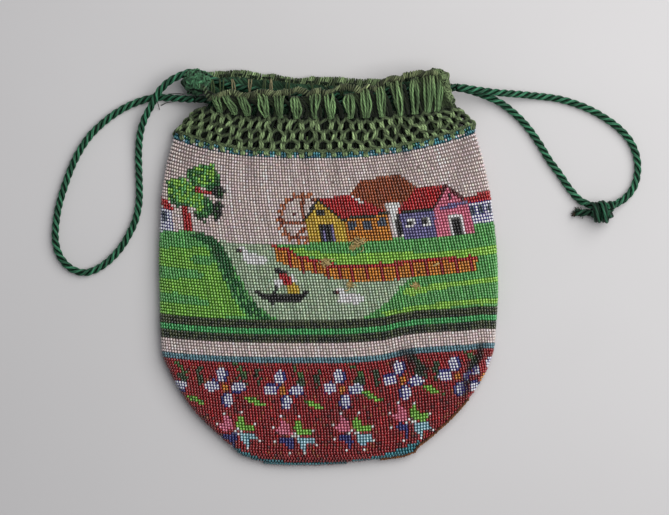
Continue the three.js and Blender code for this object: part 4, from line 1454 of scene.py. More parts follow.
def ground_piece():
    heights, outer = ground_grid(GROUND_ROWS, GROUND_DEPTH)
    _, inner = ground_grid(GROUND_INNER_ROWS, GROUND_DEPTH + GROUND_THICKNESS)
    grid = np.concatenate([outer, inner[::-1]])
    points = np.vstack([grid.reshape(-1, 3), outer[0].mean(axis=0), inner[0].mean(axis=0)])
    faces = outer.reshape(-1, 3)
    on_front = np.tile(np.arange(GROUND_COLUMNS) < GROUND_COLUMNS / 2, GROUND_ROWS)
    rows = np.repeat(heights, GROUND_COLUMNS)
    rows = rows - on_front * row_rise(faces[:, 0], rows)
    names = picture_names(faces, rows, on_front)
    # the ground between the beads, in painted shade
    outer_tints = GROUND_SHADE * np.array([EDGE_PALETTE[name] for name in names])
    outer_tints[on_front & lost(chart_places(faces))] = BARE_TINT
    tints = np.tile(INNER_TINT, (len(points), 1))
    tints[: len(faces)] = outer_tints
    tints[-2] = GROUND_SHADE * EDGE_PALETTE["teal"]
    row, column = (each.ravel() for each in np.indices((len(grid) - 1, GROUND_COLUMNS)))
    a, b = (row * GROUND_COLUMNS + each for each in (column, (column + 1) % GROUND_COLUMNS))
    c, d = a + GROUND_COLUMNS, b + GROUND_COLUMNS
    ring = np.arange(GROUND_COLUMNS)
    following = (ring + 1) % GROUND_COLUMNS
    last = (len(grid) - 1) * GROUND_COLUMNS
    outer_hub, inner_hub = (np.full(GROUND_COLUMNS, len(points) - k) for k in (2, 1))
    corners = [(a, b, d), (a, d, c)]
    corners += [(outer_hub, following, ring), (inner_hub, last + ring, last + following)]
    triangles = np.vstack([np.stack(three, axis=1) for three in corners])
    return add_mesh("knit_ground", points, triangles, KNIT_GROUND, tints)


ground = finish_piece(ground_piece(), "bead_knit", "bead_pouch")

# Bare threads where beads are lost, and the worn thread along the lower right edge

LOOSE_THREADS = [  # place on the chart, reach and number of threads
    ((357, 244), 9, 17), ((326, 262), 9, 15), ((350, 284), 6, 4), ((415, 285.5), 5, 4), ((440, 262), 4, 2),
]
THREAD_FILAMENTS = (2, 2.0)
THREAD_RADIUS = 0.22
THREAD_POINTS = 9
THREAD_SWING = 3.2  # most turn of a thread from end to end
THREAD_LENGTHS = (1.6, 4.2)
THREAD_ARCH = 0.75  # of its middle above its ends
THREAD_SINK = 0.35
SEAM_ENDS = (-71.5, -98.3)  # rows between which the worn thread shows
SEAM_PLACE = PLACES - 16
SEAM_DEPTH = 0.1
SEAM_PLIES = 3
SEAM_OFFSET = 0.42
SEAM_LEAD = 3.4
SEAM_RADIUS = 0.43
SEAM_POINTS = 90
SEAM_TAN = linear((176, 112, 62))
SEAM_BROWN = linear((74, 40, 22))


def surface_height(x, y):
    """Height of the front's surface at a place."""
    front = pouch.points[:, :PLACES].reshape(-1, 3)
    return front[np.argmin((front[:, 0] - x) ** 2 + (front[:, 1] - y) ** 2), 2]


def thread_piece():
    strands = Strands(*THREAD_FILAMENTS)
    share = np.linspace(0, 1, THREAD_POINTS)
    for (chart_x, chart_y), reach, count in LOOSE_THREADS:
        for _ in range(count):
            x = (chart_x + rng.normal(0, reach / 3) - CHART_MIDDLE[0]) * CHART_UNIT
            y = (CHART_MIDDLE[1] - chart_y + rng.normal(0, reach / 4)) * CHART_UNIT
            angle = rng.uniform(0, TURN) + rng.uniform(-THREAD_SWING, THREAD_SWING) * share
            step = rng.uniform(*THREAD_LENGTHS) / (THREAD_POINTS - 1)
            steps = step * np.stack([np.cos(angle), np.sin(angle) * 0.8, 0 * angle], axis=1)
            line = np.array([x, y, surface_height(x, y)]) + np.cumsum(steps, axis=0)
            line[:, 2] += THREAD_ARCH * np.sin(math.pi * share) - THREAD_SINK
            strands.add(line, THREAD_RADIUS, THREAD_TAN, THREAD_TAN * 0.6, sides=5)
    add_seam(strands)
    return finish_piece(strands.piece("loose_threads", THREAD), "bead_knit")


def add_seam(strands):
    """Worn brown thread along the turned edge at the lower right, where the beads are rubbed off."""
    shown = (ROW_HEIGHTS <= SEAM_ENDS[0]) & (ROW_HEIGHTS >= SEAM_ENDS[1])
    normals = pouch.normals[shown, SEAM_PLACE]
    line = spaced(pouch.points[shown, SEAM_PLACE] - SEAM_DEPTH * normals, SEAM_POINTS)
    plies = twisted_plies(line, SEAM_PLIES, SEAM_OFFSET, SEAM_LEAD)
    plies += rng.normal(0, 0.11, plies.shape)
    along = lengths_along(line)[:, None]
    vary = np.exp(0.3 * np.sin(along * 0.9) + 0.2 * np.sin(along * 2.3))
    strands.add(plies, SEAM_RADIUS, SEAM_TAN * vary, SEAM_BROWN * vary, 6, normals[0])


thread_piece()

# Crochet

WALL_ROWS = 24
WALL_COLUMNS = 720
NET_FILAMENTS = (3, 2.4)
RIB_FILAMENTS = (3, 2.6)
YARN_SPREAD = 0.09  # of the points along a strand
DEPTH_SPREAD = 0.25  # of the strands inside a wall


def band_wall():
    foot = pouch_row(POUCH_TOP)
    foot["y"] += GAP
    rows = []
    for share in np.linspace(0, 1, WALL_ROWS):
        row = {key: blend(foot[key], BAND_TOP[key], share) for key in BAND_TOP}
        rows.append(closed_spaced(section_line(row), WALL_COLUMNS))
    return Wall(rows)


def rim_height(across, column):
    i = np.clip(np.searchsorted(RIM[:, 0], across) - 1, 0, len(RIM) - 2)
    share = smoothstep(RIM[i, 0], RIM[i + 1, 0], across)
    return blend(RIM[i, column], RIM[i + 1, column], share)


def casing_wall():
    foot = row_height(BAND_TOP, ACROSS) + GAP
    rim = np.where(ON_FRONT, rim_height(ACROSS, 1), rim_height(ACROSS, 2))
    rows = []
    for share in np.linspace(0, 1, WALL_ROWS):
        values = smooth_table(CASING_ROWS, np.array([share]))[0]
        row = {**BAND_TOP, **dict(zip(("left", "right", "crown", "turn"), values))}
        line = section_line(row)
        line[:, 1] = blend(foot, rim, share)
        rows.append(closed_spaced(line, WALL_COLUMNS))
    return Wall(rows)


band = band_wall()
casing = casing_wall()
BAND_LENGTH = loop_length(band.points[WALL_ROWS // 2])
BAND_HEIGHT = BAND_TOP["y"] - POUCH_TOP
CASING_LENGTH = loop_length(casing.points[WALL_ROWS // 2])
CASING_HEIGHT = 12.5


def reach_past(lines, levels, height):
    """Carries lines on past the lower and upper edge of their wall, where levels leave 0 to 1."""
    lines[..., 1] += (np.minimum(levels, 0) + np.maximum(levels - 1, 0)) * height
    return lines


def yarn_tints(count, spread):
    """Faded colours, and unfaded colours in painted shade, of a number of strands, each a little different.
    """
    vary = rng.normal(1, spread, (count, 1, 1))
    return FADED_YARN * vary, FRESH_SHADED_YARN * vary


# Openwork: slanting strands between rows of knots, each row half a step on from the one below.
NET_POSTS = 57
NET_RADIUS = 0.94
NET_LEVELS = [-0.11, 0.15, 0.46, 0.77, 1.04]
NET_SLANTS = [(-1, -0.85, 0.5), (1, -1.15, 0.36)]  # direction, how far out, and brightness, low as painted shade where they lie deeper
NET_SCATTER = (0.13, 0.035)  # of the knots, in steps round the band and as a share of its height
NET_THICKNESS = (0.85, 1.15)  # thinnest and thickest strand, as shares of their radius
NET_BOW = 0.45  # of the strands' middles, outwards
NET_DEPTH_SPREAD = 0.2
NET_SWAY = (0.12, 0.88)  # shares of its length between which a strand crosses over
NET_SWAY_SPREAD = 0.08
NET_RIPPLE = 0.0009  # of a strand, as a share of the round
LAST_ROW_DIP = 2.2  # of the last row, which runs in behind the ribs
STITCH_REACHES = [1.3, 2.6, 2.7, 2.6]  # half length of the upright stitches, row by row
STITCH_LENGTHS = (0.8, 1.15)  # shortest and longest, as shares of that
STITCH_TILT = (-0.1, 0.2)  # middle and spread
STITCH_BEND = 0.35
STITCH_BESIDE = 0.6  # from the middle of a stitch to its two strands
STITCH_RADIUS = 0.5  # at the ends
STITCH_SWELL = 0.24  # how much thicker in the middle
STITCH_LIGHT = (0.25, 1.15)  # brightness at the ends, and how much more in the middle: painted light where they bulge out and painted shade where they dive in
STITCH_ALONG = np.linspace(-1, 1, 7)
STITCH_ARCH = 1 - STITCH_ALONG**2
NET_EDGE = (0.02, -0.7)  # level and depth of the round of yarn along the foot
NET_EDGE_RADIUS = 0.5
NET_EDGE_LEAD = 3.3
NET_EDGE_POINTS = 400
BACKING_STRANDS = 150
BACKING_DEPTH = -2.4
BACKING_RADIUS = 0.75
BACKING_SPREAD = 0.0006  # of the strands' places, as a share of the round
BACKING_SWAY = 0.0012  # of their middles, as a share of the round
BACKING_VARIETY = 0.35  # of their brightness
LINED = (0.53, 1.47)  # share of the round that is lined: the right end is open
UNDER_STRANDS = 120
UNDER_DEPTH = -1.55
UNDER_RADIUS = 0.55
UNDER_FEET = (-0.04, 0.72)  # lowest and highest level of their feet
UNDER_RISES = (0.22, 0.4)  # how much higher they end
UNDER_LEANS = (0.15, 0.75)  # and how far along, in steps round the band


def net_knots():
    """Places of the knots round the band and up it, row by row."""
    shares, levels = [], []
    for row, level in enumerate(NET_LEVELS):
        step = np.arange(NET_POSTS) + 0.5 * (row % 2) + rng.normal(0, NET_SCATTER[0], NET_POSTS)
        shares.append(step / NET_POSTS)
        levels.append(level + rng.normal(0, NET_SCATTER[1], NET_POSTS))
    return shares, levels


def net_lines(shares, levels, row, slant, out):
    """Strands from one row of knots to the next, and the wall's outward direction along them."""
    each = (NET_POSTS, 1)
    t = np.linspace(0, 1, 8)
    arch = np.sin(math.pi * t)
    aim = (np.arange(NET_POSTS) + (slant - 1) // 2 + row % 2) % NET_POSTS
    start, end = shares[row], shares[row + 1][aim]
    end = end - np.round(end - start)  # a whole turn on or back where that is nearer
    sway = smoothstep(*NET_SWAY, t) + rng.normal(0, NET_SWAY_SPREAD, each) * arch
    round_share = blend(start[:, None], end[:, None], sway)
    level = blend(levels[row][:, None], levels[row + 1][aim][:, None], t)
    phase = rng.uniform(0, TURN, each)
    round_share = round_share + rng.normal(0, NET_RIPPLE, each) * np.sin(3 * math.pi * t + phase)
    bow = out + NET_BOW * arch + rng.normal(0, NET_DEPTH_SPREAD, each)
    if row == len(NET_LEVELS) - 2:
        bow = bow - LAST_ROW_DIP * smoothstep(0.55, 1, t)
    lines = reach_past(band.at(round_share, level, bow), level, BAND_HEIGHT)
    return above_table(lines, NET_RADIUS), band.normal(round_share, level)


def add_uprights(strands, shares, levels, reach):
    """Upright stitches of two strands each at the knots, with painted light in the middle and painted shade
    where they dive in.
    """
    each = (len(shares), 1)
    reach = reach * rng.uniform(*STITCH_LENGTHS, each)
    tilt = rng.normal(*STITCH_TILT, each)
    bend = rng.normal(0, STITCH_BEND, each) * STITCH_ARCH
    round_share = shares[:, None] + (tilt * STITCH_ALONG * reach + bend) / BAND_LENGTH
    level = levels[:, None] + STITCH_ALONG * reach / BAND_HEIGHT
    lines = reach_past(band.at(round_share, level, STITCH_ARCH - 1), level, BAND_HEIGHT)
    normals = band.normal(round_share, level)
    light = (STITCH_LIGHT[0] + STITCH_LIGHT[1] * STITCH_ARCH)[:, None]
    radius = STITCH_RADIUS + STITCH_SWELL * STITCH_ARCH
    for beside in (-STITCH_BESIDE, STITCH_BESIDE):
        moved = lines + [beside, 0, 0] + rng.normal(0, YARN_SPREAD, lines.shape)
        faded, fresh_shaded = yarn_tints(len(shares), 0.28)
        moved = above_table(moved, STITCH_RADIUS)
        strands.add(moved, radius, faded * light, fresh_shaded, 6, normals, crest=(0.0, 1.0))


def add_backing(strands, wall, first, last, count, depth, tint):
    """Close strands inside a wall, for the gathered inner layers that show through its gaps, dark as
    painted shade.
    """
    levels = np.linspace(0, 1, 7)
    shares = np.linspace(first, last, count) + rng.normal(0, BACKING_SPREAD, count)
    sway = rng.normal(0, BACKING_SWAY, (count, 1)) * np.sin(math.pi * levels)
    lines = wall.at(shares[:, None] + sway, levels, depth + rng.normal(0, DEPTH_SPREAD, (count, 1)))
    tints = tint * np.exp(rng.normal(0, BACKING_VARIETY, (count, 1, 1)))
    strands.add(lines, BACKING_RADIUS, tints, tints * 0.5, sides=5)


def add_under_strands(strands):
    """Short strands that slant both ways below the net and half fill its gaps."""
    each = (UNDER_STRANDS, 1)
    t = np.linspace(0, 1, 6)
    start = rng.uniform(*LINED, each)
    level = rng.uniform(*UNDER_FEET, each) + rng.uniform(*UNDER_RISES, each) * t
    lean = rng.choice([-1, 1], each) * rng.uniform(*UNDER_LEANS, each) / NET_POSTS
    shares = start + lean * smoothstep(-0.2, 1.2, t)
    lines = band.at(shares, level, UNDER_DEPTH + 0.6 * np.sin(math.pi * t))
    vary = np.exp(rng.normal(0, 0.3, (*each, 1)))
    # darker than the net, as painted shade below it
    top, deep = MIDDLE_YARN * 0.75 * vary, SHADED_YARN * vary
    strands.add(lines, UNDER_RADIUS, top, deep, 5, band.normal(shares, level))


def openwork_piece():
    strands = Strands(*NET_FILAMENTS)
    shares, levels = net_knots()
    for row in range(len(NET_LEVELS) - 1):
        for slant, out, brightness in NET_SLANTS:
            lines, normals = net_lines(shares, levels, row, slant, out)
            faded, fresh_shaded = yarn_tints(NET_POSTS, 0.25)
            radius = NET_RADIUS * rng.uniform(*NET_THICKNESS, (NET_POSTS, 1))
            top, deep = faded * brightness, fresh_shaded * brightness
            strands.add(lines, radius, top, deep, 6, normals, crest=(0.05, 1.0))
    for row, reach in enumerate(STITCH_REACHES):
        add_uprights(strands, shares[row], levels[row], reach)
    add_under_strands(strands)
    turn = np.linspace(0, 1, NET_EDGE_POINTS)
    edge = twisted_plies(band.at(turn, *NET_EDGE), 2, NET_EDGE_RADIUS, NET_EDGE_LEAD)
    edge = above_table(edge, NET_EDGE_RADIUS)
    faded, fresh_shaded = yarn_tints(2, 0.05)
    strands.add(edge, NET_EDGE_RADIUS, faded * 0.7, fresh_shaded * 0.8, 5, band.normal(turn, NET_EDGE[0]))
    add_backing(strands, band, *LINED, BACKING_STRANDS, BACKING_DEPTH, SHADED_YARN)
    return finish_piece(strands.piece("crochet_net", CROCHET_YARN), "crochet_yarn", "crochet_openwork_band")


# The front rim's upper line: place across and height. It runs in arches from rib to rib.
RIM_LINE = np.array([
    (-59.5, 84.9), (-56.1, 86.5), (-52.0, 87.6), (-47.5, 88.6), (-44.0, 87.0), (-42.0, 86.6), (-38.3, 87.1),
    (-34.3, 88.5), (-30.8, 88.3), (-27.7, 87.5), (-24.5, 87.9), (-21.6, 88.6), (-19.3, 88.4), (-15.3, 89.9),
    (-9.6, 87.5), (-7.3, 88.6), (-3.8, 89.3), (-1.5, 87.9), (2.1, 88.9), (4.4, 90.4), (9.0, 91.3),
    (13.6, 90.3), (15.6, 88.7), (18.8, 91.3), (23.4, 89.6), (25.6, 92.8), (30.2, 95.4), (34.8, 95.1),
    (36.0, 94.4), (37.7, 96.8), (44.6, 98.2), (47.5, 97.4), (50.9, 98.3), (53.8, 98.3), (57.8, 97.4),
])


def rim_line(x):
    return np.interp(x, RIM_LINE[:, 0], RIM_LINE[:, 1])


# Casing: ribs of long strands, with the places of their feet and tops across the front, and how far
# below the rim's upper line they end. The lowest ones hang inside an arch of the rim.
FRONT_RIBS = [
    (-54.1, -57.3, 0.9), (-46.8, -51.4, 0.9), (-40.1, -43.3, 0.9), (-30.6, -33.4, 0.9), (-24.0, -24.6, 0.9),
    (-15.7, -16.5, 4.6), (-6.9, -6.7, 0.9), (1.2, 0.2, 0.9), (11.0, 10.0, 4.7), (18.8, 18.1, 0.9),
    (26.8, 25.4, 0.9), (35.8, 33.9, 0.9), (43.1, 42.3, 3.9), (49.4, 49.7, 0.9), (54.3, 54.6, 0.9),
]
BACK_RIBS = np.linspace(-52, 55, 16)
RIB_STRANDS = [  # beside the rib's middle, and out from the wall
    (-1.95, -0.75), (-0.65, 0.05), (0.65, 0.0), (1.9, -0.7), (-1.3, -1.5), (0, -1.3), (1.3, -1.5),
]
RIB_YARN_RADIUS = 0.6
RIB_SHADE = np.array([0.75, 0.91, 0.81])
RIB_BLEACHING = 0.35  # of the ribs' tops
RIB_WAIST = 0.56  # width of a rib's foot, as a share of its width further up
RIB_DIP = 1.2  # of the ribs' tops, inwards
RIB_MOTTLING = 0.22
RIB_WIDTHS = (0.9, 1.12)  # narrowest and widest rib, against the places of RIB_STRANDS
RIB_TWIST = 0.55
RIB_BEND = 0.42
RIB_TOP_SHADOW = 0.35
HANGING_DROP = 3  # ribs that end further below the rim narrow towards their tops
HANGING_NARROWING = 0.42
RIB_FOOT = -0.06
BACK_RIB_TOP = 1.14
RIB_POINTS = 18
LININGS = [  # first and last share round the casing, number, depth and colour of the strands inside, darkened as painted shade
    (0.505, 0.995, 128, -2.75, UNFADED_YARN * 0.34),
    (0.425, 0.505, 22, -1.9, MIDDLE_YARN * 0.5),
]
FILL_STRANDS = 84
FILL_DEPTH = -1.6
FILL_RADIUS = 0.7
FILL_LEVELS = (-0.05, 0.88)
FILL_SHARES = (0.02, 0.44)  # of the round, between which they lie


def share_at(row, x, on_front):
    """Share round one row of a wall where it has this x."""
    right = int(np.argmax(row[:, 0]))
    columns = np.arange(0, right + 1) if on_front else np.arange(len(row) - 1, right - 1, -1)
    return np.interp(x, row[columns, 0], columns / len(row))


def shares_along(wall, levels, places, on_front):
    """Shares round a wall at levels up it, one place across for each level."""
    found = []
    for level, x in zip(np.clip(levels, 0, 1) * (len(wall.points) - 1), places):
        below = min(int(level), len(wall.points) - 2)
        low = share_at(wall.points[below], x, on_front)
        high = share_at(wall.points[below + 1], x, on_front)
        found.append(blend(low, high, level - below))
    return np.array(found)


def front_rib_top(top, drop):
    """Level up the casing where a rib of the front ends, this far below the rim's upper line."""
    share = share_at(casing.points[-1], top, True)
    low, high = casing.at(share, 0.0)[1], casing.at(share, 1.0)[1]
    wanted = rim_line(top) - drop
    return min((wanted - low) / (high - low), 1 + (wanted - high) / CASING_HEIGHT)


def add_rib(strands, foot, top, on_front, top_level, narrowing=0.0):
    levels = np.linspace(RIB_FOOT, top_level, RIB_POINTS)
    on_wall = np.clip(levels, 0, 1)
    along = levels / top_level
    bulge = smooth_table(CASING_ROWS[:, [0, 5]], on_wall)[:, 0]
    middle = shares_along(casing, levels, blend(foot, top, on_wall), on_front)
    flare = blend(RIB_WAIST, 1, smoothstep(0.0, 0.45, along))
    flare -= narrowing * smoothstep(0.7, 1.0, along)
    spread = flare * rng.uniform(*RIB_WIDTHS)
    twist = rng.normal(0, RIB_TWIST)
    lines, normals = [], []
    for offset, height in RIB_STRANDS:
        bend = rng.normal(0, RIB_BEND) * np.sin(math.pi * along * rng.uniform(0.8, 2.4))
        shares = middle + (offset * spread * (1 - 0.25 * twist * along) + bend) / CASING_LENGTH
        out = bulge + height * spread - RIB_YARN_RADIUS + rng.normal(0, 0.14)
        out = out - RIB_DIP * smoothstep(0.86, 1.0, along)
        lines.append(reach_past(casing.at(shares, levels, out), levels, CASING_HEIGHT))
        normals.append(casing.normal(shares, levels))
    each = (len(lines), 1)
    faded, fresh_shaded = yarn_tints(len(lines), 0.3)
    faded = blend(faded, BLEACHED_YARN, RIB_BLEACHING * smoothstep(0.62, 1.05, levels)[:, None])
    mottled = 1 + RIB_MOTTLING * np.sin(rng.uniform(5, 11, each) * along + rng.uniform(0, 6, each))
    mottled *= 1 - RIB_TOP_SHADOW * smoothstep(0.85, 1.0, along)
    faded = faded * RIB_SHADE * mottled[..., None]
    lines = above_table(np.array(lines), RIB_YARN_RADIUS) + rng.normal(0, 0.06, np.shape(lines))
    strands.add(lines, RIB_YARN_RADIUS, faded, fresh_shaded, 7, normals, crest=(0.1, 0.98))


def casing_piece():
    strands = Strands(*RIB_FILAMENTS)
    for foot, top, drop in FRONT_RIBS:
        narrowing = HANGING_NARROWING if drop > HANGING_DROP else 0.0
        add_rib(strands, foot, top, True, front_rib_top(top, drop), narrowing)
    for x in BACK_RIBS:
        add_rib(strands, x, x, False, BACK_RIB_TOP)
    add_backing(strands, casing, *LININGS[0])
    add_fill(strands)
    add_backing(strands, casing, *LININGS[1])
    add_inner_strands(strands)
    add_turned_end(strands)
    add_loose_ends(strands)
    add_curled_end(strands)
    return finish_piece(strands.piece("crochet_ribs", CROCHET_YARN), "crochet_yarn", "crochet_casing")


def add_fill(strands):
    """Strands behind the front's ribs, which half hide the cord, very dark as painted shade between the
    ribs.
    """
    each = (FILL_STRANDS, 1)
    levels = np.linspace(*FILL_LEVELS, 7)
    shares = rng.uniform(*FILL_SHARES, each) + rng.normal(0, 0.006, each) * levels
    lines = casing.at(shares, levels, FILL_DEPTH + rng.normal(0, DEPTH_SPREAD, each))
    lines = reach_past(lines, levels, CASING_HEIGHT)
    vary = np.exp(rng.normal(-1.6, 0.5, (*each, 1)))
    top, deep = MIDDLE_YARN * vary, SHADED_YARN * vary
    strands.add(lines, FILL_RADIUS, top, deep, 6, casing.normal(shares, levels))


# Strands inside the mouth, in front of the cord: place across and colour.
INNER_STRANDS = [
    (-57.5, MIDDLE_YARN), (-53.5, MIDDLE_YARN), (-47.4, BLEACHED_YARN), (-39.2, BLEACHED_YARN),
    (-33, MIDDLE_YARN), (-28.7, BLEACHED_YARN), (-20, MIDDLE_YARN), (-8, MIDDLE_YARN), (7, MIDDLE_YARN),
]
INNER_FOOT = 85.5
INNER_LENGTHS = (8.4, 6.4)  # left and right of INNER_LONG
INNER_LONG = -15
INNER_HEIGHT = 9.4  # above the table
INNER_RADIUS = 0.42
INNER_PAIR = (-0.5, 0.35)  # two strands lie this far beside each place


def add_inner_strands(strands):
    t = np.linspace(0, 1, 8)
    arch = np.sin(math.pi * t)
    for x, colour in INNER_STRANDS:
        reach = INNER_LENGTHS[0] if x < INNER_LONG else INNER_LENGTHS[1]
        for beside in INNER_PAIR:
            sway = rng.normal(0, 0.5) * arch
            line = np.stack([
                x + beside + sway + rng.normal(0, 0.8) * t,
                INNER_FOOT + reach * t,
                INNER_HEIGHT + 0.7 * arch + rng.normal(0, 0.2),
            ], axis=1)
            strands.add(line, INNER_RADIUS, colour * rng.uniform(0.5, 0.9), SHADED_YARN * 0.7, 6)


def crosswise(pole):
    """Two directions across a pole, turned by chance."""
    first = unit(np.cross(pole, rng.normal(0, 1, 3)))
    return first, np.cross(pole, first)


TURNED_END = np.array([-66.0, 92.2, 10.6])
TURNED_REACH = np.array([6.5, 6.0, 6.2])
TURNED_LOOPS = 70
TURNED_RADIUS = 0.85
TURNED_WIDTHS = (0.16, 0.42)  # of the loops, as shares of the reach
TURNED_ARCS = (2.6, 5.6)  # angles that they go round
TURNED_SIZES = (0.7, 1.03)  # how far out they lie, as shares of the reach
TURNED_LIGHT = np.array([0.6, 0.7, 0.2])  # painted light: loops that face this way, towards the lamp, are lighter
TURNED_HAIRS = 60
TURNED_HAIR_RADIUS = 0.16
TURNED_HAIR_LENGTHS = (0.5, 1.4)


def add_turned_end(strands):
    """Crowded loops of unfaded yarn where the left end of the casing is turned out, lighter as painted
    light where they face the lamp.
    """
    share = np.linspace(0, 1, 12)[:, None]
    for _ in range(TURNED_LOOPS):
        pole = unit(rng.normal(0, 1, 3) * [1, 1, 0.8] + [0, 0, 0.5])
        first, second = crosswise(pole)
        width = rng.uniform(*TURNED_WIDTHS)
        angle = rng.uniform(0, 6.28) + share * rng.uniform(*TURNED_ARCS)
        ring = pole * math.sqrt(1 - width**2) + width * (first * np.cos(angle) + second * np.sin(angle))
        ring *= 1 + 0.08 * np.sin(angle * 3)
        line = TURNED_END + ring * TURNED_REACH * rng.uniform(*TURNED_SIZES)
        vary = min(1.2, np.exp(rng.normal(-0.5, 0.5) + 0.35 * (pole @ TURNED_LIGHT)))
        strands.add(line, TURNED_RADIUS, UNFADED_YARN * vary, UNFADED_DEEP * vary, 7, unit(ring))
    each = (TURNED_HAIRS, 3)
    pole = unit(rng.normal(0, 1, each) + [0, 0, 0.6])
    reach = unit(pole + rng.normal(0, 0.9, each))
    reach *= rng.uniform(*TURNED_HAIR_LENGTHS, (TURNED_HAIRS, 1))
    lines = TURNED_END + (pole * TURNED_REACH)[:, None] + reach[:, None] * np.linspace(0, 1, 4)[:, None]
    strands.add(lines, TURNED_HAIR_RADIUS, UNFADED_YARN * 0.8, UNFADED_DEEP, 4)


# Loose ends of yarn that hang from the turned end over the cord.
LOOSE_ENDS = [
    [(-71.8, 86.4, 9.2), (-76, 86.9, 6.8), (-80.2, 86.8, 4.4)],
    [(-74.5, 83.4, 6.6), (-78.4, 83.0, 2.6), (-81.4, 82.6, 1.2), (-84.2, 81.2, 0.5)],
    [(-85.6, 83.0, 5.4), (-85.2, 81.0, 3.0), (-84.9, 79.2, 0.5)],
]
LOOSE_STEP = 0.5
LOOSE_RADIUS = 0.2


def add_loose_ends(strands):
    for route in LOOSE_ENDS:
        line = smooth_route(route, LOOSE_STEP)
        strands.add(line, LOOSE_RADIUS, SHADED_YARN, SHADED_YARN * 0.5, 5)


# The rim's right end curls down over the last rib.
CURLED_END = [
    (51.5, 97.0, 13.6), (55.3, 96.4, 15), (57.5, 93.8, 15.6), (58.4, 90.2, 15.8), (59.4, 86.3, 15.4),
    (61, 82.9, 14),
]
CURL_RADIUS = 1.9
CURL_LOOPS = 150
CURL_YARN_RADIUS = 0.44
CURL_CORE = 1.71
CURL_ARC = 0.75 * TURN  # that a loop goes round
CURL_SIZES = (0.5, 0.75)  # of the loops, as shares of the radius


def add_curled_end(strands):
    """Small loops that face this way and that over a dark core."""
    path = smooth_route(CURLED_END, 0.1)
    angle = np.linspace(0, CURL_ARC, 12)[:, None]
    for place in np.linspace(0, len(path) - 1, CURL_LOOPS):
        pole = unit(rng.normal(0, 1, 3) + [0, 0, 0.4])
        first, second = crosswise(pole)
        turned = angle + rng.uniform(0, TURN)
        ring = pole + first * np.cos(turned) + second * np.sin(turned)
        line = path[int(place)] + rng.uniform(*CURL_SIZES) * CURL_RADIUS * ring
        faded, fresh_shaded = yarn_tints(1, 0.3)
        strands.add(line, CURL_YARN_RADIUS, faded, fresh_shaded, 6, unit(ring), crest=(0.0, 1.0))
    strands.add(spaced(path, 20), CURL_CORE, SHADED_YARN, SHADED_YARN, 8)


# Edging: close loops of yarn round the rim, low along the front and high along the back.
EDGING_WRAPS = 262
EDGING_TOP = 3.8  # above the casing's edge
EDGING_YARN_RADIUS = 0.48
EDGING_MARGIN = 0.45  # from the loops' middles to the rim's upper line
EDGING_HALF_FRONT = 1.25
EDGING_HALF_BACK = 3.0
EDGING_HALF_DEPTH = 1.45
EDGING_CORE = 1.15
EDGING_INSET = -1.1
BACK_RIM_RISE = np.array([  # place across, and how much higher the back's edging runs there
    (-64, 0.4), (-48, 0.4), (-30, -0.1), (-18, -0.6), (-10, 0.4), (-4, 1.2), (10, 1.0), (28, 0.8),
    (40, 0.2), (60, 0),
])
BACK_BEGINS = (0.47, 0.53)  # shares round the rim between which the front gives way to the back
BACK_ENDS = (0.96, 1.0)
ARCHES_BEGIN = (-62, -58)  # places between which the front rim's upper line sets in
ARCHES_END = (56, 59)
FADING = (-66, -56)  # places between which the yarn fades
FRONT_ENDS = (0.46, 0.5)  # shares round the rim between which the front's slant and bleaching end
EDGING_BLEACHING = 0.3
EDGING_SHADE = 0.3  # how much darker the front is
WRAP_POINTS = 12
EDGING_CORE_POINTS = 300


def wave(turn, count, phase=0.0):
    """A wave with this many crests round the rim."""
    return np.sin(TURN * count * turn + phase)


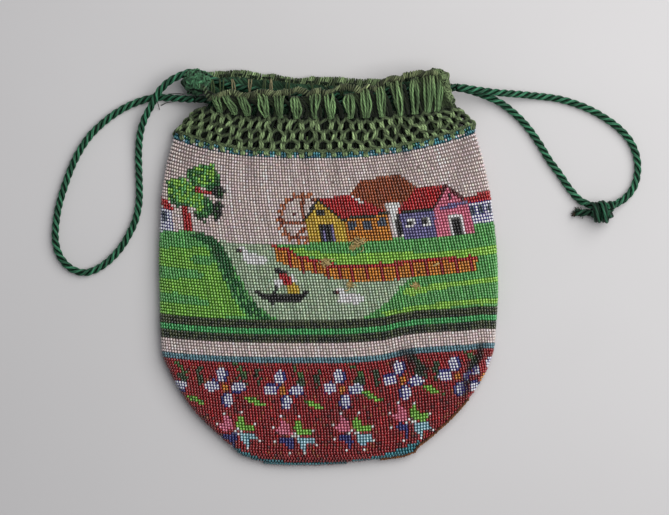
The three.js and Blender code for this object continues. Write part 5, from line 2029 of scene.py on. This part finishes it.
def edging_frame(turn):
    """Middle of the edging, its half height and the level direction out of it, round the rim."""
    backness = smoothstep(*BACK_BEGINS, turn) * (1 - smoothstep(*BACK_ENDS, turn))
    waves = 0.5 * wave(turn, 23, 2 * wave(turn, 5)) + 0.3 * wave(turn, 41, 1.3) - 0.35
    half = blend(EDGING_HALF_FRONT, EDGING_HALF_BACK, backness) * (1 + 0.12 * wave(turn, 17))
    middle = casing.at(turn, 1.0, EDGING_INSET)
    x, y = middle[:, 0], middle[:, 1] + EDGING_TOP - half - EDGING_MARGIN + 0.4 * waves
    arched = (1 - backness) * smoothstep(*ARCHES_BEGIN, x) * (1 - smoothstep(*ARCHES_END, x))
    y = blend(y, rim_line(x) - half - EDGING_MARGIN, arched)
    middle[:, 1] = y + backness * np.interp(x, BACK_RIM_RISE[:, 0], BACK_RIM_RISE[:, 1])
    return middle, half, unit(casing.normal(turn, 1.0) * [1, 0, 1])


def edging_tints(turn, fading, on_front):
    """Colours of the loops' outer and inner sides, in patches and from loop to loop."""
    patches = wave(turn, 21, 3 * wave(turn, 4)) + 0.6 * wave(turn, 57)
    wraps = np.exp(rng.normal(0, 0.25, EDGING_WRAPS))[(turn * (EDGING_WRAPS - 1)).astype(int)]
    vary = (np.clip(0.82 + 0.36 * patches, 0.2, 1.4) * wraps)[:, None] * (1 - EDGING_SHADE * on_front)
    faded = blend(FADED_YARN, BLEACHED_YARN, EDGING_BLEACHING * on_front)
    top = blend(UNFADED_YARN, faded, fading)
    deep = blend(UNFADED_DEEP, FRESH_SHADED_YARN, fading)
    return top * vary, deep * vary


def edging_piece():
    strands = Strands(*NET_FILAMENTS)
    turn = np.linspace(0, 1, EDGING_WRAPS * WRAP_POINTS)
    angle = TURN * EDGING_WRAPS * turn + 1.1 * wave(turn, 37) + 0.8 * wave(turn, 71, 1)
    cosine, sine = np.cos(angle)[:, None], np.sin(angle)[:, None]
    middle, half, flat = edging_frame(turn)
    half = half[:, None]
    on_front = (1 - smoothstep(*FRONT_ENDS, turn))[:, None]
    slant = 0.35 + 0.6 * on_front * wave(turn, 19)[:, None]
    up = np.array([0.0, 1.0, 0.0])
    line = middle + flat * EDGING_HALF_DEPTH * cosine + (up + slant * [1, 0, 0]) * half * sine
    line += rng.normal(0, YARN_SPREAD, line.shape)
    top, deep = edging_tints(turn, smoothstep(*FADING, middle[:, :1]), on_front)
    strands.add(line, EDGING_YARN_RADIUS, top, deep, out=unit(flat * cosine + up * sine))
    core = edging_frame(np.linspace(0, 1, EDGING_CORE_POINTS))[0]
    strands.add(core, EDGING_CORE, SHADED_YARN, SHADED_YARN, sides=7)
    return finish_piece(strands.piece("crochet_rim", CROCHET_YARN), "crochet_yarn", "crochet_edging")


openwork_piece()
casing_piece()
edging_piece()
